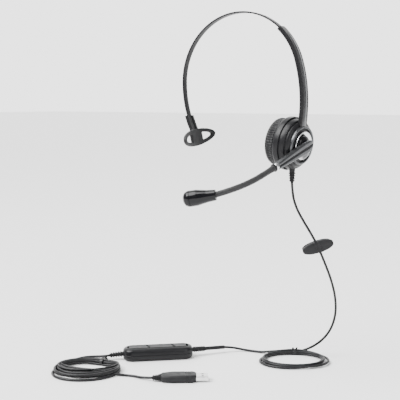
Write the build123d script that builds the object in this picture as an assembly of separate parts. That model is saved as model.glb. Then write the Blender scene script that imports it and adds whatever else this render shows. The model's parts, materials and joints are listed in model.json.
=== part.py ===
from build123d import *
import math
import os

# Office headset, in millimetres. The origin is midway between the wearer's ears: +X points to the ear cup,
# which is on the wearer's left, the wearer faces -Y, and +Z is up. The surface the cords lie on is at FLOOR.

FLOOR = -243.0

# Headband. The strip is one arc over the head, and both ends straighten into wider arcs.
BAND_CENTRE = (-2.7, 62.6)
BAND_RADIUS = 72.6
STRIP_WIDTH = 7.0
STRIP_THICKNESS = 1.2
STRIP_END_ANGLE = 19.0
LEFT_RADIUS = 115.0
LEFT_SWEEP = 27.0

# Arm that the strip slides into.
ARM_TOP_ANGLE = 48.0
ARM_BEND_ANGLE = 17.0
ARM_RADIUS = 150.0
ARM_BOTTOM_ANGLE = -9.6
ARM_HALF_THICKNESS = 2.3
ARM_WIDTH = 12.6
ARM_TOP_WIDTH = 11.4
CHANNEL_HALF_THICKNESS = 1.2
CHANNEL_WIDTH = 7.9
CHANNEL_END_ANGLE = 5.2
SPINE_WIDTH = 3.8
SPINE_BOTTOM = 1.5
SPINE_PROUD = 0.3
SPINE_TOP_ANGLE = 41.0
LEAF_START_ANGLE = 38.2
LEAF_SWEEP = 5.4
LEAF_THICKNESS = 0.35
LEAF_WIDTH = 5.0

# Ear cup, turned about its own axis. Its local z points away from the head and its local y is up.
CUP_CENTRE = (72.0, 0.0, -3.4)
CUP_YAW = -7.0
CUP_TILT = 6.7
RING_OUTER = 20.2
RING_INNER = 17.6
DRUM_RADIUS = 23.6
ARM_FOOT_CONE = [(0, -12.0), (28.6, -12.0), (18.3, 4.0), (0, 4.0)]
BALL_CENTRE = -14.0
SKIRT_RADIUS = 26.8
SKIRT_WALL = 1.8
SKIRT_FRONT = -5.4
SKIRT_BACK = -14.7
RIM_INNER = 27.1
RIM_RADIUS = 28.1
RIM_FRONT = -11.3
RIM_BACK = -16.6
RIM_DEPTH = -17.5
PLATE_FRONT = -18.4
PLATE_BACK = -19.6
NECK_RADIUS = 23.6
NECK_INNER = 22.0
BAFFLE_FRONT = -23.0
BAFFLE_BACK = -24.2
CUSHION_RADIUS = 24.9
CUSHION_HOLE = 11.5
CUSHION_FRONT = -31.2
BALL_RADIUS = 4.0
FIT_GAP = 0.08

# Boom. Its local x runs along the boom, and its local z is the pivot axis.
BOOM_DROP = 23.5
ARM_LENGTH = 46.5
ARM_ROOT_HEIGHT = 7.0
ARM_END_HEIGHT = 1.2
SHAFT_RADIUS = 3.0
HUB_RADIUS = 10.4
HUB_BOTTOM = 0.2
HUB_TOP = 4.9
GOOSENECK_RADIUS = 2.9
GOOSENECK_ROUTE = [
    (59.5, -63.0, -31.0),
    (54.0, -77.0, -36.5),
    (46.5, -88.0, -41.0),
    (38.0, -96.5, -44.7),
    (30.0, -101.5, -47.5),
]
GOOSENECK_BEND_RUN = 1
MIC_TIP = (2.5, -113.5, -52.5)
MIC_RADIUS = 8.0
MIC_NECK_RADIUS = 5.3

# Cords. Each route is listed from the headset towards the plug.
CORD_DIAMETER = 2.4
HEADSET_ROUTE = [
    (60.1, 1.5, -42.0),
    (60.6, 2.2, -56.0),
    (64.0, 5.8, -70.5),
    (69.9, 11.2, -84.5),
    (76.3, 16.9, -98.0),
    (81.9, 22.2, -112.0),
    (86.8, 29.0, -130.0),
    (91.2, 36.4, -149.0),
    (93.6, 42.8, -169.0),
    (92.4, 47.6, -188.5),
    (86.0, 51.4, -207.0),
    (75.0, 53.6, -222.5),
    (61.0, 52.5, -234.0),
    (48.0, 46.0, -239.5),
]
CLIP_POINT = 5
TAIL_ROUTE = [
    (-25.5, 6.5, -236.5),
    (-19.3, 14.9, -238.0),
    (-9.5, 22.3, -241.0),
    (3.0, 26.0, -241.7),
    (21.5, 21.5, -240.3),
]
USB_ROUTE = [
    (-117.6, -86.0, -238.0),
    (-126.5, -87.0, -240.4),
    (-136.0, -89.5, -241.8),
    (-143.3, -96.5, -241.8),
    (-146.8, -107.0, -241.6),
    (-146.3, -118.0, -240.8),
    (-143.8, -128.0, -240.0),
]
USB_TAIL_ROUTE = [
    (-80.0, -124.0, -240.4),
    (-70.5, -118.2, -241.6),
    (-60.5, -114.4, -241.8),
    (-49.0, -115.4, -241.0),
    (-37.2, -113.4, -239.2),
]
COIL_TURN_AXIS = 34.0
HEADSET_COIL = {"centre": (55.5, 21.0), "outer": (38.5, 30.5), "inner": (28.5, 21.0), "height": 5.6}
USB_COIL = {"centre": (-111.0, -130.0), "outer": (37.0, 32.0), "inner": (25.5, 20.5), "height": 7.2}
HEADSET_TIE_ANGLE = 83.0
USB_TIE_ANGLE = 63.0
TIE_WIDTH = 3.6
TIE_THICKNESS = 0.7

# Cord boot under the ear cup.
BOOT_TOP = (60.1, 1.5, -25.5)
BOOT_LENGTH = 16.5

# Inline controller. Its local x runs along it and its local z is up from the surface.
CONTROLLER_CENTRE = (-76.7, -51.2)
CONTROLLER_TURN = 42.3
CONTROLLER_LENGTH = 77.6
CONTROLLER_WIDTH = 23.0
CONTROLLER_HEIGHT = 14.0
CONTROLLER_CORNER = 8.0
CONTROLLER_EDGE = 4.2
CONTROLLER_SEAM = 6.8
CONTROLLER_WALL = 1.6
BOOT_HEIGHT = 8.0
SCREW_X = 34.6
KEY_SLANT = 3.0
KEY_HALF_WIDTH = 6.4
KEY_GAP = 0.3
KEY_TOP = 14.5
KEY_SPANS = {"key_volume_down": (-32.6, -11.7), "key_mute": (-10.3, 16.1), "key_volume_up": (17.5, 31.6)}

# Plug.
PLUG_CENTRE = (-15.5, -97.4)
PLUG_TURN = 36.3
PLUG_LENGTH = 36.6
PLUG_WIDTH = 16.0
PLUG_HEIGHT = 8.0
SHELL_WIDTH = 12.0
SHELL_HEIGHT = 4.5
SHELL_REACH = 12.0

# Clothing clip. Its local x runs along it, and its local z is the side the cord lies on.
CLIP_LENGTH = 34.0
CLIP_WIDTH = 12.8
CLIP_FRONT_THICKNESS = 4.4
CLIP_JAW_THICKNESS = 1.9
CLIP_JAW_TOP = -3.6
CLIP_PIN_X = 3.0
CLIP_PIN_Z = -1.6
CLIP_PIN_RADIUS = 0.8

parts = {}


def polar(centre, radius, degrees):
    """Point on a circle in a plane."""
    angle = math.radians(degrees)
    return (centre[0] + radius * math.cos(angle), centre[1] + radius * math.sin(angle))


def arc_band(centre, inner, outer, start, end):
    """Flat strip between two arcs about one centre, in the XZ plane."""
    middle = (start + end) / 2
    edges = [
        ThreePointArc(polar(centre, outer, start), polar(centre, outer, middle), polar(centre, outer, end)),
        Line(polar(centre, outer, end), polar(centre, inner, end)),
        ThreePointArc(polar(centre, inner, end), polar(centre, inner, middle), polar(centre, inner, start)),
        Line(polar(centre, inner, start), polar(centre, outer, start)),
    ]
    return Plane.XZ * make_face(edges)


def turned(points):
    """Solid turned about the local z axis from (radius, height) corners."""
    profile = Plane.XZ * make_face(Polyline(*points, close=True))
    return revolve(profile, Axis.Z, 360)


def tube_section(start, direction, radius):
    """Round section of a tube at its start."""
    return Plane(origin=start, z_dir=direction) * Circle(radius)


def ball(radius, height):
    """Sphere on the local z axis."""
    return Pos(0, 0, height) * Sphere(radius)


def slab(radius, low, high):
    """Disc between two heights on the local z axis."""
    return Pos(0, 0, (low + high) / 2) * Cylinder(radius, high - low)


def bar(length, width, low, high):
    """Block centred on the local z axis, between two heights."""
    return Pos(0, 0, (low + high) / 2) * Box(length, width, high - low)


def corner_radii(points):
    """Arc radius at each corner of a route, as large as its two runs allow."""
    radii = []
    for before, here, after in zip(points, points[1:], points[2:]):
        run_in = Vector(*here) - Vector(*before)
        run_out = Vector(*after) - Vector(*here)
        half_turn = math.radians(run_in.get_angle(run_out)) / 2
        radii.append(0.45 * min(run_in.length, run_out.length) / math.tan(half_turn))
    return radii


def route_tube(name, points, radius):
    """Tube along straight runs joined by tangent arcs."""
    radii = corner_radii(points)
    path = FilletPolyline(*points, radius=radii)
    tube = sweep(tube_section(path @ 0, path % 0, radius), path)
    expected = math.pi * radius**2 * path.length
    print(name, "length", round(path.length, 1), "radii", [round(value, 1) for value in radii])
    print(name, "volume over section times length", round(tube.volume / expected, 4))
    return tube


BAND_MIDDLE = (BAND_CENTRE[0], 0, BAND_CENTRE[1])
ARM_CENTRE = polar(BAND_CENTRE, BAND_RADIUS - ARM_RADIUS, ARM_BEND_ANGLE)
LEFT_CENTRE = (BAND_CENTRE[0] - BAND_RADIUS + LEFT_RADIUS, BAND_CENTRE[1])
STRIP_TIP = polar(LEFT_CENTRE, LEFT_RADIUS, 180 + LEFT_SWEEP)

yaw = math.radians(CUP_YAW)
tilt = math.radians(CUP_TILT)
CUP_AXIS = Vector(math.cos(tilt) * math.cos(yaw), math.cos(tilt) * math.sin(yaw), -math.sin(tilt))
CUP_BACK = Vector(-math.sin(yaw), math.cos(yaw), 0)
CUP = Plane(origin=CUP_CENTRE, x_dir=CUP_BACK, z_dir=CUP_AXIS)

drop = math.radians(BOOM_DROP)
BOOM_DIRECTION = CUP.x_dir * -math.cos(drop) + CUP.y_dir * -math.sin(drop)
BOOM = Plane(origin=CUP_CENTRE, x_dir=BOOM_DIRECTION, z_dir=CUP_AXIS)

CONTROLLER = Location((CONTROLLER_CENTRE[0], CONTROLLER_CENTRE[1], FLOOR), (0, 0, CONTROLLER_TURN))
PLUG = Location((PLUG_CENTRE[0], PLUG_CENTRE[1], FLOOR), (0, 0, PLUG_TURN))

clip_before = Vector(*HEADSET_ROUTE[CLIP_POINT - 1])
clip_after = Vector(*HEADSET_ROUTE[CLIP_POINT + 1])
CLIP_CORD = (clip_after - clip_before).normalized()
clip_face = Vector(0.555, -0.822, 0.126)
clip_face = (clip_face - CLIP_CORD * clip_face.dot(CLIP_CORD)).normalized()
clip_along = Vector(0.772, 0.565, 0.290)
clip_along = (clip_along - clip_face * clip_along.dot(clip_face)).normalized()
CORD_IN_CLIP = CLIP_FRONT_THICKNESS - CORD_DIAMETER / 2 - 0.1
CLIP = Plane(
    origin=Vector(*HEADSET_ROUTE[CLIP_POINT]) - clip_face * CORD_IN_CLIP, x_dir=clip_along, z_dir=clip_face
)


# ---- headband ----


def arm_width_limit():
    """Block that narrows the arm towards its top."""
    half = ARM_WIDTH / 2
    top_half = ARM_TOP_WIDTH / 2
    outline = [(-half, 0), (-half, 75), (-top_half, 118), (top_half, 118), (half, 75), (half, 0)]
    return extrude(Plane.YZ * make_face(Polyline(*outline, close=True)), 100)


def arm_layer(low, high, width, top_angle):
    """Curved layer of the arm between two distances from its middle surface."""
    upper = arc_band(BAND_CENTRE, BAND_RADIUS + low, BAND_RADIUS + high, ARM_BEND_ANGLE, top_angle)
    lower = arc_band(ARM_CENTRE, ARM_RADIUS + low, ARM_RADIUS + high, ARM_BOTTOM_ANGLE, ARM_BEND_ANGLE)
    return extrude(upper, width / 2, both=True) + extrude(lower, width / 2, both=True)


def long_edges(shape, offset, half_width_low):
    """Edges of the arm that run along it, at one distance from its middle surface."""
    found = []
    for edge in shape.edges():
        middle = edge @ 0.5
        if abs(middle.Y) < half_width_low or edge.length < 15:
            continue
        from_band = math.dist((middle.X, middle.Z), BAND_CENTRE) - BAND_RADIUS
        from_arm = math.dist((middle.X, middle.Z), ARM_CENTRE) - ARM_RADIUS
        distance = from_band if middle.Z > 84 else from_arm
        if abs(distance - offset) < 0.05:
            found.append(edge)
    return found


def band_parts(disc_cone):
    """Strip, its slider shoe, the arm's two shells, its silver spine and the friction spring."""
    half = STRIP_THICKNESS / 2
    upper = arc_band(BAND_CENTRE, BAND_RADIUS - half, BAND_RADIUS + half, STRIP_END_ANGLE, 180)
    lower = arc_band(LEFT_CENTRE, LEFT_RADIUS - half, LEFT_RADIUS + half, 180, 180 + LEFT_SWEEP)
    strip = extrude(upper, STRIP_WIDTH / 2, both=True) + extrude(lower, STRIP_WIDTH / 2, both=True)
    parts["band_strip"] = strip

    shoe_half = CHANNEL_HALF_THICKNESS - 0.1
    shoe = arc_band(BAND_CENTRE, BAND_RADIUS - shoe_half, BAND_RADIUS + shoe_half, STRIP_END_ANGLE - 1.5,
                    STRIP_END_ANGLE + 5.5)
    parts["band_shoe"] = extrude(shoe, CHANNEL_WIDTH / 2 - 0.15, both=True) - strip

    limit = arm_width_limit()
    channel = extrude(
        arc_band(BAND_CENTRE, BAND_RADIUS - CHANNEL_HALF_THICKNESS, BAND_RADIUS + CHANNEL_HALF_THICKNESS,
                 CHANNEL_END_ANGLE, ARM_TOP_ANGLE - 2), CHANNEL_WIDTH / 2, both=True)
    mouth_half = STRIP_THICKNESS / 2 + 0.1
    mouth = extrude(
        arc_band(BAND_CENTRE, BAND_RADIUS - mouth_half, BAND_RADIUS + mouth_half, CHANNEL_END_ANGLE,
                 ARM_TOP_ANGLE + 3), STRIP_WIDTH / 2 + 0.15, both=True)

    outer = arm_layer(0, ARM_HALF_THICKNESS, ARM_WIDTH, ARM_TOP_ANGLE) & limit
    outer = fillet(long_edges(outer, ARM_HALF_THICKNESS, 4), 1.4)
    spine_groove = arm_layer(SPINE_BOTTOM, 4, SPINE_WIDTH, SPINE_TOP_ANGLE)
    parts["arm_outer_shell"] = outer - spine_groove - channel - mouth - disc_cone

    inner = arm_layer(-ARM_HALF_THICKNESS, 0, ARM_WIDTH, ARM_TOP_ANGLE) & limit
    inner = fillet(long_edges(inner, -ARM_HALF_THICKNESS, 4), 0.8)
    parts["arm_inner_shell"] = inner - channel - mouth - disc_cone

    spine = arm_layer(SPINE_BOTTOM, ARM_HALF_THICKNESS + SPINE_PROUD, SPINE_WIDTH, SPINE_TOP_ANGLE)
    parts["arm_spine"] = spine - disc_cone

    leaf_low = BAND_RADIUS + STRIP_THICKNESS / 2 + 0.05
    leaf_end = LEAF_START_ANGLE + LEAF_SWEEP
    leaf = arc_band(BAND_CENTRE, leaf_low, leaf_low + LEAF_THICKNESS, LEAF_START_ANGLE, leaf_end)
    parts["friction_spring"] = extrude(leaf, LEAF_WIDTH / 2, both=True)


def temple_parts():
    """Bracket that holds the strip's end, and the soft loop that rests above the wearer's temple."""
    bracket_start = 180 + LEFT_SWEEP - 8.2
    bracket_end = 180 + LEFT_SWEEP + 1.0
    outline = arc_band(LEFT_CENTRE, LEFT_RADIUS - 1.6, LEFT_RADIUS + 1.8, bracket_start, bracket_end)
    body = extrude(outline, 6.6, both=True)
    open_face = extrude(
        arc_band(LEFT_CENTRE, LEFT_RADIUS - 3, LEFT_RADIUS - STRIP_THICKNESS / 2, bracket_start - 1,
                 180 + LEFT_SWEEP), 2.7, both=True)
    slot = extrude(
        arc_band(LEFT_CENTRE, LEFT_RADIUS - STRIP_THICKNESS / 2, LEFT_RADIUS + STRIP_THICKNESS / 2,
                 bracket_start - 1, 180 + LEFT_SWEEP), STRIP_WIDTH / 2, both=True)
    parts["temple_bracket"] = body - open_face - slot

    # The loop is cut from a saddle, which curves towards the head at both ends.
    saddle_radius = 92.0
    pad_thickness = 3.6
    pad_centre = Plane(origin=(-61.6, 0, 1.2), x_dir=(0, 1, 0.12), z_dir=(1, 0, 0.16))
    saddle = Cylinder(saddle_radius, 60, rotation=(90, 0, 0))
    saddle -= Cylinder(saddle_radius - pad_thickness, 61, rotation=(90, 0, 0))
    saddle = Pos(0, 0, saddle_radius) * saddle
    outline = Ellipse(30.5, 9.4)
    hole = Ellipse(25.8, 4.9) - Rectangle(21, 30)
    loop = extrude(outline - hole, 12, both=True)
    pad = (saddle & loop & bar(80, 40, -2, 20)).solids().sort_by(SortBy.VOLUME)[-1]
    parts["temple_pad"] = pad_centre.location * pad - body


# ---- pivot disc and ear cup ----


def housing_outline():
    """Filled shape of the pivot housing in the cup's frame."""
    drum = turned([(0, -1.0), (RING_OUTER + 0.3, -1.0), (22.4, -2.4), (DRUM_RADIUS, -4.2),
                   (DRUM_RADIUS, -7.5), (0, -7.5)])
    skirt = ball(SKIRT_RADIUS, BALL_CENTRE) & slab(40, SKIRT_BACK, SKIRT_FRONT)
    return drum + skirt


def disc_parts(outline):
    """Housing, silver ring, chrome dish, the socket plate and the ball the ear cup tilts on."""
    hollow = ball(SKIRT_RADIUS - SKIRT_WALL, BALL_CENTRE) & slab(40, SKIRT_BACK - 1, SKIRT_FRONT - 1.6)
    hollow += slab(DRUM_RADIUS - 2.2, -7.5, -3.0)
    boss = slab(5.5, -7.0, -2.5)
    shaft_hole = slab(SHAFT_RADIUS + 0.05, -8, 0)
    ring_seat = slab(RING_OUTER, -1.6, 0) - slab(RING_INNER, -1.7, 0)
    parts["pivot_housing"] = CUP.location * (outline - hollow + boss - shaft_hole - ring_seat)

    ring = turned([(RING_INNER, -1.6), (RING_OUTER, -1.6), (RING_OUTER, 0.4), (RING_OUTER - 0.7, 1.1),
                   (RING_INNER + 0.6, 1.1), (RING_INNER, 0.4)])
    parts["trim_ring"] = CUP.location * ring

    dish = turned([(HUB_RADIUS + 0.5, -1.0), (14.6, -1.0), (14.6, 2.0), (14.0, 2.3), (11.9, 0.9),
                   (HUB_RADIUS + 0.5, 0.4)])
    parts["pivot_dish"] = CUP.location * dish

    socket_plate = slab(24.55, -10.2, -9.0) + slab(6.2, -13.2, -10.2)
    socket_plate -= ball(BALL_RADIUS + FIT_GAP, BALL_CENTRE)
    parts["ball_socket"] = CUP.location * socket_plate
    parts["tilt_ball"] = CUP.location * ball(BALL_RADIUS, BALL_CENTRE)


def cup_parts():
    """Ear cup: shell with its rim, baffle, speaker, grille cloth, snap ring and cushion."""
    shell = turned([(0, PLATE_BACK), (0, -14.9), (6.2, -14.9), (6.2, PLATE_FRONT), (25.2, PLATE_FRONT),
                    (26.4, RIM_DEPTH), (27.2, RIM_DEPTH + 0.9), (27.2, RIM_FRONT + 0.2), (27.6, RIM_FRONT),
                    (RIM_RADIUS, RIM_FRONT - 0.6), (RIM_RADIUS, RIM_BACK), (27.6, -18.0), (26.5, -19.0),
                    (25.0, PLATE_BACK), (NECK_RADIUS, -19.8), (NECK_RADIUS, BAFFLE_FRONT),
                    (NECK_INNER, BAFFLE_FRONT), (NECK_INNER, PLATE_BACK)])
    shell -= (ball(RIM_INNER, BALL_CENTRE) & slab(40, RIM_DEPTH, RIM_FRONT + 1)) - slab(10, -20, 0)
    shell -= ball(BALL_RADIUS + FIT_GAP, BALL_CENTRE)
    shell -= Pos(0, -28, -12.4) * Box(8.6, 5, 5.2)
    parts["cup_shell"] = CUP.location * shell

    baffle = slab(NECK_RADIUS, BAFFLE_BACK, BAFFLE_FRONT) - slab(15.5, -30, -20)
    parts["cup_baffle"] = CUP.location * baffle

    driver = turned([(0, -19.8), (8.0, -19.8), (8.0, -22.0), (15.5, -22.6), (15.5, -24.0), (14.2, -24.0),
                     (7.0, -22.9), (0, -22.9)])
    parts["speaker_driver"] = CUP.location * driver
    diaphragm = turned([(0, -23.1), (6.8, -23.2), (13.9, -24.2), (15.5, -24.05), (15.5, -24.3), (13.8, -24.5),
                        (6.6, -23.5), (0, -23.4)])
    parts["speaker_diaphragm"] = CUP.location * diaphragm
    parts["grille_cloth"] = CUP.location * slab(18.9, -25.4, -25.0)
    snap_ring = slab(NECK_RADIUS, -25.3, BAFFLE_BACK) - slab(19.0, -26, -24)
    parts["cushion_ring"] = CUP.location * snap_ring

    cushion = turned([(23.8, -20.6), (CUSHION_RADIUS - 0.3, -20.6), (CUSHION_RADIUS, -22.0),
                      (CUSHION_RADIUS, -28.6), (23.9, -30.4), (21.2, CUSHION_FRONT), (17.0, -31.0),
                      (13.2, -29.6), (CUSHION_HOLE, -27.6), (CUSHION_HOLE + 0.6, -25.6), (23.8, -25.6)])
    parts["ear_cushion"] = CUP.location * cushion


# ---- boom ----


def boom_section(along, width, thickness, corner):
    """Rounded section across the boom arm."""
    height = ARM_ROOT_HEIGHT + (ARM_END_HEIGHT - ARM_ROOT_HEIGHT) * max(along, 0) / ARM_LENGTH
    section = Plane(origin=(along, 0, height), x_dir=(0, 1, 0), z_dir=(1, 0, -0.125))
    return section * RectangleRounded(width, thickness, corner)


def boom_parts():
    """Hub, arm, collar and the gooseneck's fixed half."""
    hub = turned([(0, HUB_BOTTOM), (HUB_RADIUS, HUB_BOTTOM), (HUB_RADIUS, 2.2), (9.4, 3.4), (7.0, 4.4),
                  (3.5, HUB_TOP), (0, HUB_TOP)])
    parts["boom_hub"] = CUP.location * hub
    shaft = slab(SHAFT_RADIUS, -7.4, HUB_BOTTOM) + slab(5.2, -8.5, -7.4)
    parts["boom_shaft"] = CUP.location * shaft

    sections = [boom_section(-6.2, 10.6, 4.0, 1.9), boom_section(6.0, 12.6, 4.8, 2.0),
                boom_section(26.0, 10.2, 5.4, 2.2), boom_section(ARM_LENGTH, 7.0, 6.4, 2.8)]
    whole = loft(sections) - hub
    ridge = whole & (Pos(20, -10.6, 5) * Box(80, 20, 30))
    lower = whole & (Pos(20, 9.9, 5) * Box(80, 20, 30))
    web = (whole & (Pos(20, -0.35, -0.2) * Box(80, 0.5, 10)))
    parts["boom_ridge"] = BOOM.location * ridge
    parts["boom_arm"] = BOOM.location * (lower + web)

    end = Plane(origin=(ARM_LENGTH, 0, ARM_END_HEIGHT), x_dir=(0, 1, 0), z_dir=(1, 0, -0.125))
    collar = end.location * (Pos(0, 0, 1.6) * Cylinder(3.5, 3.2))
    ring = end.location * (Pos(0, 0, 4.2) * Cylinder(4.2, 2.0))
    parts["boom_collar"] = BOOM.location * collar
    parts["boom_ring"] = BOOM.location * ring
    return (BOOM.location * end.location * Pos(0, 0, 5.2)).position


def gooseneck_parts(start):
    """Two halves of the gooseneck, joined where it bends, and the microphone on its end."""
    points = [tuple(start)] + GOOSENECK_ROUTE
    before = Vector(*GOOSENECK_ROUTE[GOOSENECK_BEND_RUN])
    after = Vector(*GOOSENECK_ROUTE[GOOSENECK_BEND_RUN + 1])
    bend = (before + after) * 0.5
    direction = (after - before).normalized()
    print("gooseneck bend at", bend, "direction", direction)

    first = points[: GOOSENECK_BEND_RUN + 2] + [tuple(bend - direction * 1.5)]
    base = route_tube("gooseneck_base", first, GOOSENECK_RADIUS)
    bend_place = Plane(origin=bend, z_dir=direction).location
    parts["gooseneck_base"] = base - bend_place * Sphere(GOOSENECK_RADIUS + 0.1) - parts["boom_ring"]

    second = [tuple(bend)] + points[GOOSENECK_BEND_RUN + 2 :]
    tip = route_tube("gooseneck_tip", second, GOOSENECK_RADIUS)
    parts["gooseneck_tip"] = tip + bend_place * Sphere(GOOSENECK_RADIUS - 0.02)

    neck = Vector(*GOOSENECK_ROUTE[-1])
    mic_axis = (Vector(*MIC_TIP) - neck).normalized()
    mic = Plane(origin=neck - mic_axis * 2.0, z_dir=mic_axis)
    shell = turned([(0, 0), (MIC_NECK_RADIUS, 0), (5.45, 2.5), (6.0, 8), (MIC_RADIUS, 20), (MIC_RADIUS, 25.5),
                    (6.2, 25.5), (6.2, 20), (4.3, 9), (0, 9)])
    parts["mic_shell"] = mic.location * shell - parts["gooseneck_tip"]
    nose = turned([(0, 27.4), (4.2, 27.0), (6.2, 24.8), (6.2, 25.5), (MIC_RADIUS, 25.5), (7.6, 28.0),
                   (6.3, 30.6), (3.9, 32.1), (0, 32.6)])
    nose -= Pos(0, -2.6, 30) * Cylinder(0.9, 8)
    parts["mic_nose"] = mic.location * nose
    parts["mic_capsule"] = mic.location * slab(3.0, 21.0, 25.6)


# ---- cords and what is on them ----


def ribbed_boot(length, base_radius, end_radius, rib_count, rib_start):
    """Tapered strain relief with ribs round its end, along local z."""
    boot = turned([(0, 0), (base_radius, 0), (end_radius, length), (0, length)])
    pitch = (length - rib_start) / rib_count
    for index in range(rib_count):
        low = rib_start + index * pitch
        radius = base_radius + (end_radius - base_radius) * low / length + 0.45
        boot += slab(radius, low, low + pitch * 0.55)
    return boot


def coil_solid(coil):
    """Outer shape of a flat coil, as an oval ring that lies on the surface."""
    ring = extrude(Ellipse(*coil["outer"]) - Ellipse(*coil["inner"]), coil["height"])
    place = Location((coil["centre"][0], coil["centre"][1], FLOOR), (0, 0, COIL_TURN_AXIS))
    return place * ring


def coil_tie(coil, degrees):
    """Strap round the coil's bundle at one place, with its twisted end beside it."""
    angle = math.radians(degrees)
    middle = [(out + into) / 2 for out, into in zip(coil["outer"], coil["inner"])]
    depth = (coil["outer"][0] - coil["inner"][0]) * math.cos(angle) ** 2
    depth += (coil["outer"][1] - coil["inner"][1]) * math.sin(angle) ** 2
    here = (middle[0] * math.cos(angle), middle[1] * math.sin(angle))
    normal = math.degrees(math.atan2(here[1] / middle[1] ** 2, here[0] / middle[0] ** 2))
    height = coil["height"]
    strap = bar(depth + 1.6, TIE_WIDTH, 0.05, height + TIE_THICKNESS)
    strap -= bar(depth + 1.6 - 2 * TIE_THICKNESS, TIE_WIDTH + 1, -1, height)
    twist = Pos(depth / 2 + 3.4, 0, height + 0.2) * Box(7.0, 1.8, 1.4)
    place = Location((coil["centre"][0], coil["centre"][1], FLOOR), (0, 0, COIL_TURN_AXIS))
    return place * Location((here[0], here[1], 0), (0, 0, normal)) * (strap + twist)


def cord_parts(housing_envelope):
    """Both cords, with their coils and ties, and the boot under the ear cup."""
    radius = CORD_DIAMETER / 2
    boot_place = Plane(origin=BOOT_TOP, x_dir=(1, 0, 0), z_dir=(0, 0, -1))
    boot = boot_place.location * ribbed_boot(BOOT_LENGTH, 3.5, 2.1, 4, 7.0)
    parts["headset_cord"] = route_tube("headset_cord", HEADSET_ROUTE, radius)
    parts["cord_boot"] = boot - housing_envelope - parts["headset_cord"]

    parts["headset_coil"] = coil_solid(HEADSET_COIL)
    parts["headset_coil_tie"] = coil_tie(HEADSET_COIL, HEADSET_TIE_ANGLE) - parts["headset_coil"]
    parts["headset_cord_tail"] = route_tube("headset_cord_tail", TAIL_ROUTE, radius)

    parts["usb_cord"] = route_tube("usb_cord", USB_ROUTE, radius)
    parts["usb_coil"] = coil_solid(USB_COIL)
    parts["usb_coil_tie"] = coil_tie(USB_COIL, USB_TIE_ANGLE) - parts["usb_coil"]
    parts["usb_cord_tail"] = route_tube("usb_cord_tail", USB_TAIL_ROUTE, radius)


def boat(length, width):
    """Flat oval outline with blunt ends."""
    return Ellipse(length * 0.62, width / 2) & RectangleRounded(length, width, width * 0.3)


def clip_parts():
    """Clothing clip: grooved front plate that holds the cord, sprung jaw behind it, pin and spring."""
    front = extrude(boat(CLIP_LENGTH, CLIP_WIDTH), CLIP_FRONT_THICKNESS)
    front = chamfer(front.faces().sort_by(Axis.Z)[-1].edges(), 0.9)
    across = math.degrees(math.atan2(CLIP_CORD.dot(CLIP.y_dir), CLIP_CORD.dot(CLIP.x_dir)))
    groove_floor = CORD_IN_CLIP - CORD_DIAMETER / 2 - 0.5
    groove = Location((0, 0, groove_floor + 4), (0, 0, across)) * Box(40, CORD_DIAMETER + 1.0, 8)
    lug = Pos(CLIP_PIN_X, 4.2, -1.45) * Box(4.4, 1.4, 2.9) + Pos(CLIP_PIN_X, -4.2, -1.45) * Box(4.4, 1.4, 2.9)
    pin_place = Location((CLIP_PIN_X, 0, CLIP_PIN_Z), (90, 0, 0))
    pin_hole = pin_place * Cylinder(CLIP_PIN_RADIUS + 0.03, 20)
    parts["clip_front"] = CLIP.location * (front - groove + lug - pin_hole)
    parts["clip_pin"] = CLIP.location * (pin_place * Cylinder(CLIP_PIN_RADIUS, 9.8))

    jaw = extrude(boat(CLIP_LENGTH - 1.6, CLIP_WIDTH - 1.6), -CLIP_JAW_THICKNESS)
    jaw = Pos(0, 0, CLIP_JAW_TOP) * jaw
    jaw += Pos(-CLIP_LENGTH / 2 + 2.9, 0, CLIP_JAW_TOP / 2 - 0.3) * Box(1.8, 6.4, -CLIP_JAW_TOP)
    for side in (-1, 1):
        jaw += Pos(CLIP_PIN_X, side * 2.6, -2.15) * Box(3.4, 1.4, 3.1)
    parts["clip_jaw"] = CLIP.location * (jaw - pin_place * Cylinder(CLIP_PIN_RADIUS + 0.05, 20))
    spring = Cylinder(1.55, 3.4) - Cylinder(1.1, 4)
    parts["clip_spring"] = CLIP.location * (pin_place * spring)


def key_outline(low, high, grow):
    """Slanted key seen from above."""
    half = KEY_HALF_WIDTH + grow
    slant = KEY_SLANT / 2
    corners = [(low - slant - grow, half), (high - slant + grow, half), (high + slant + grow, -half),
               (low + slant - grow, -half)]
    if low < -20:
        corners = [(low - grow, half - 1.6), (low + 1.6 - grow, half), *corners[1:3],
                   (low + 1.6 - grow, -half), (low - grow, -half + 1.6)]
    if high > 20:
        corners = [corners[0], (high - 1.6 + grow, half), (high + grow, half - 1.6),
                   (high + grow, -half + 1.6), (high - 1.6 + grow, -half), corners[-1]]
    return make_face(Polyline(*corners, close=True))


def controller_block(shrink):
    """Rounded body of the controller, or the hollow inside it."""
    outline = RectangleRounded(CONTROLLER_LENGTH - 2 * shrink, CONTROLLER_WIDTH - 2 * shrink,
                               CONTROLLER_CORNER - shrink)
    block = Pos(0, 0, shrink) * extrude(outline, CONTROLLER_HEIGHT - 2 * shrink)
    ends = block.faces().sort_by(Axis.Z)
    return fillet(ends[0].edges() + ends[-1].edges(), CONTROLLER_EDGE - shrink)


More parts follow.
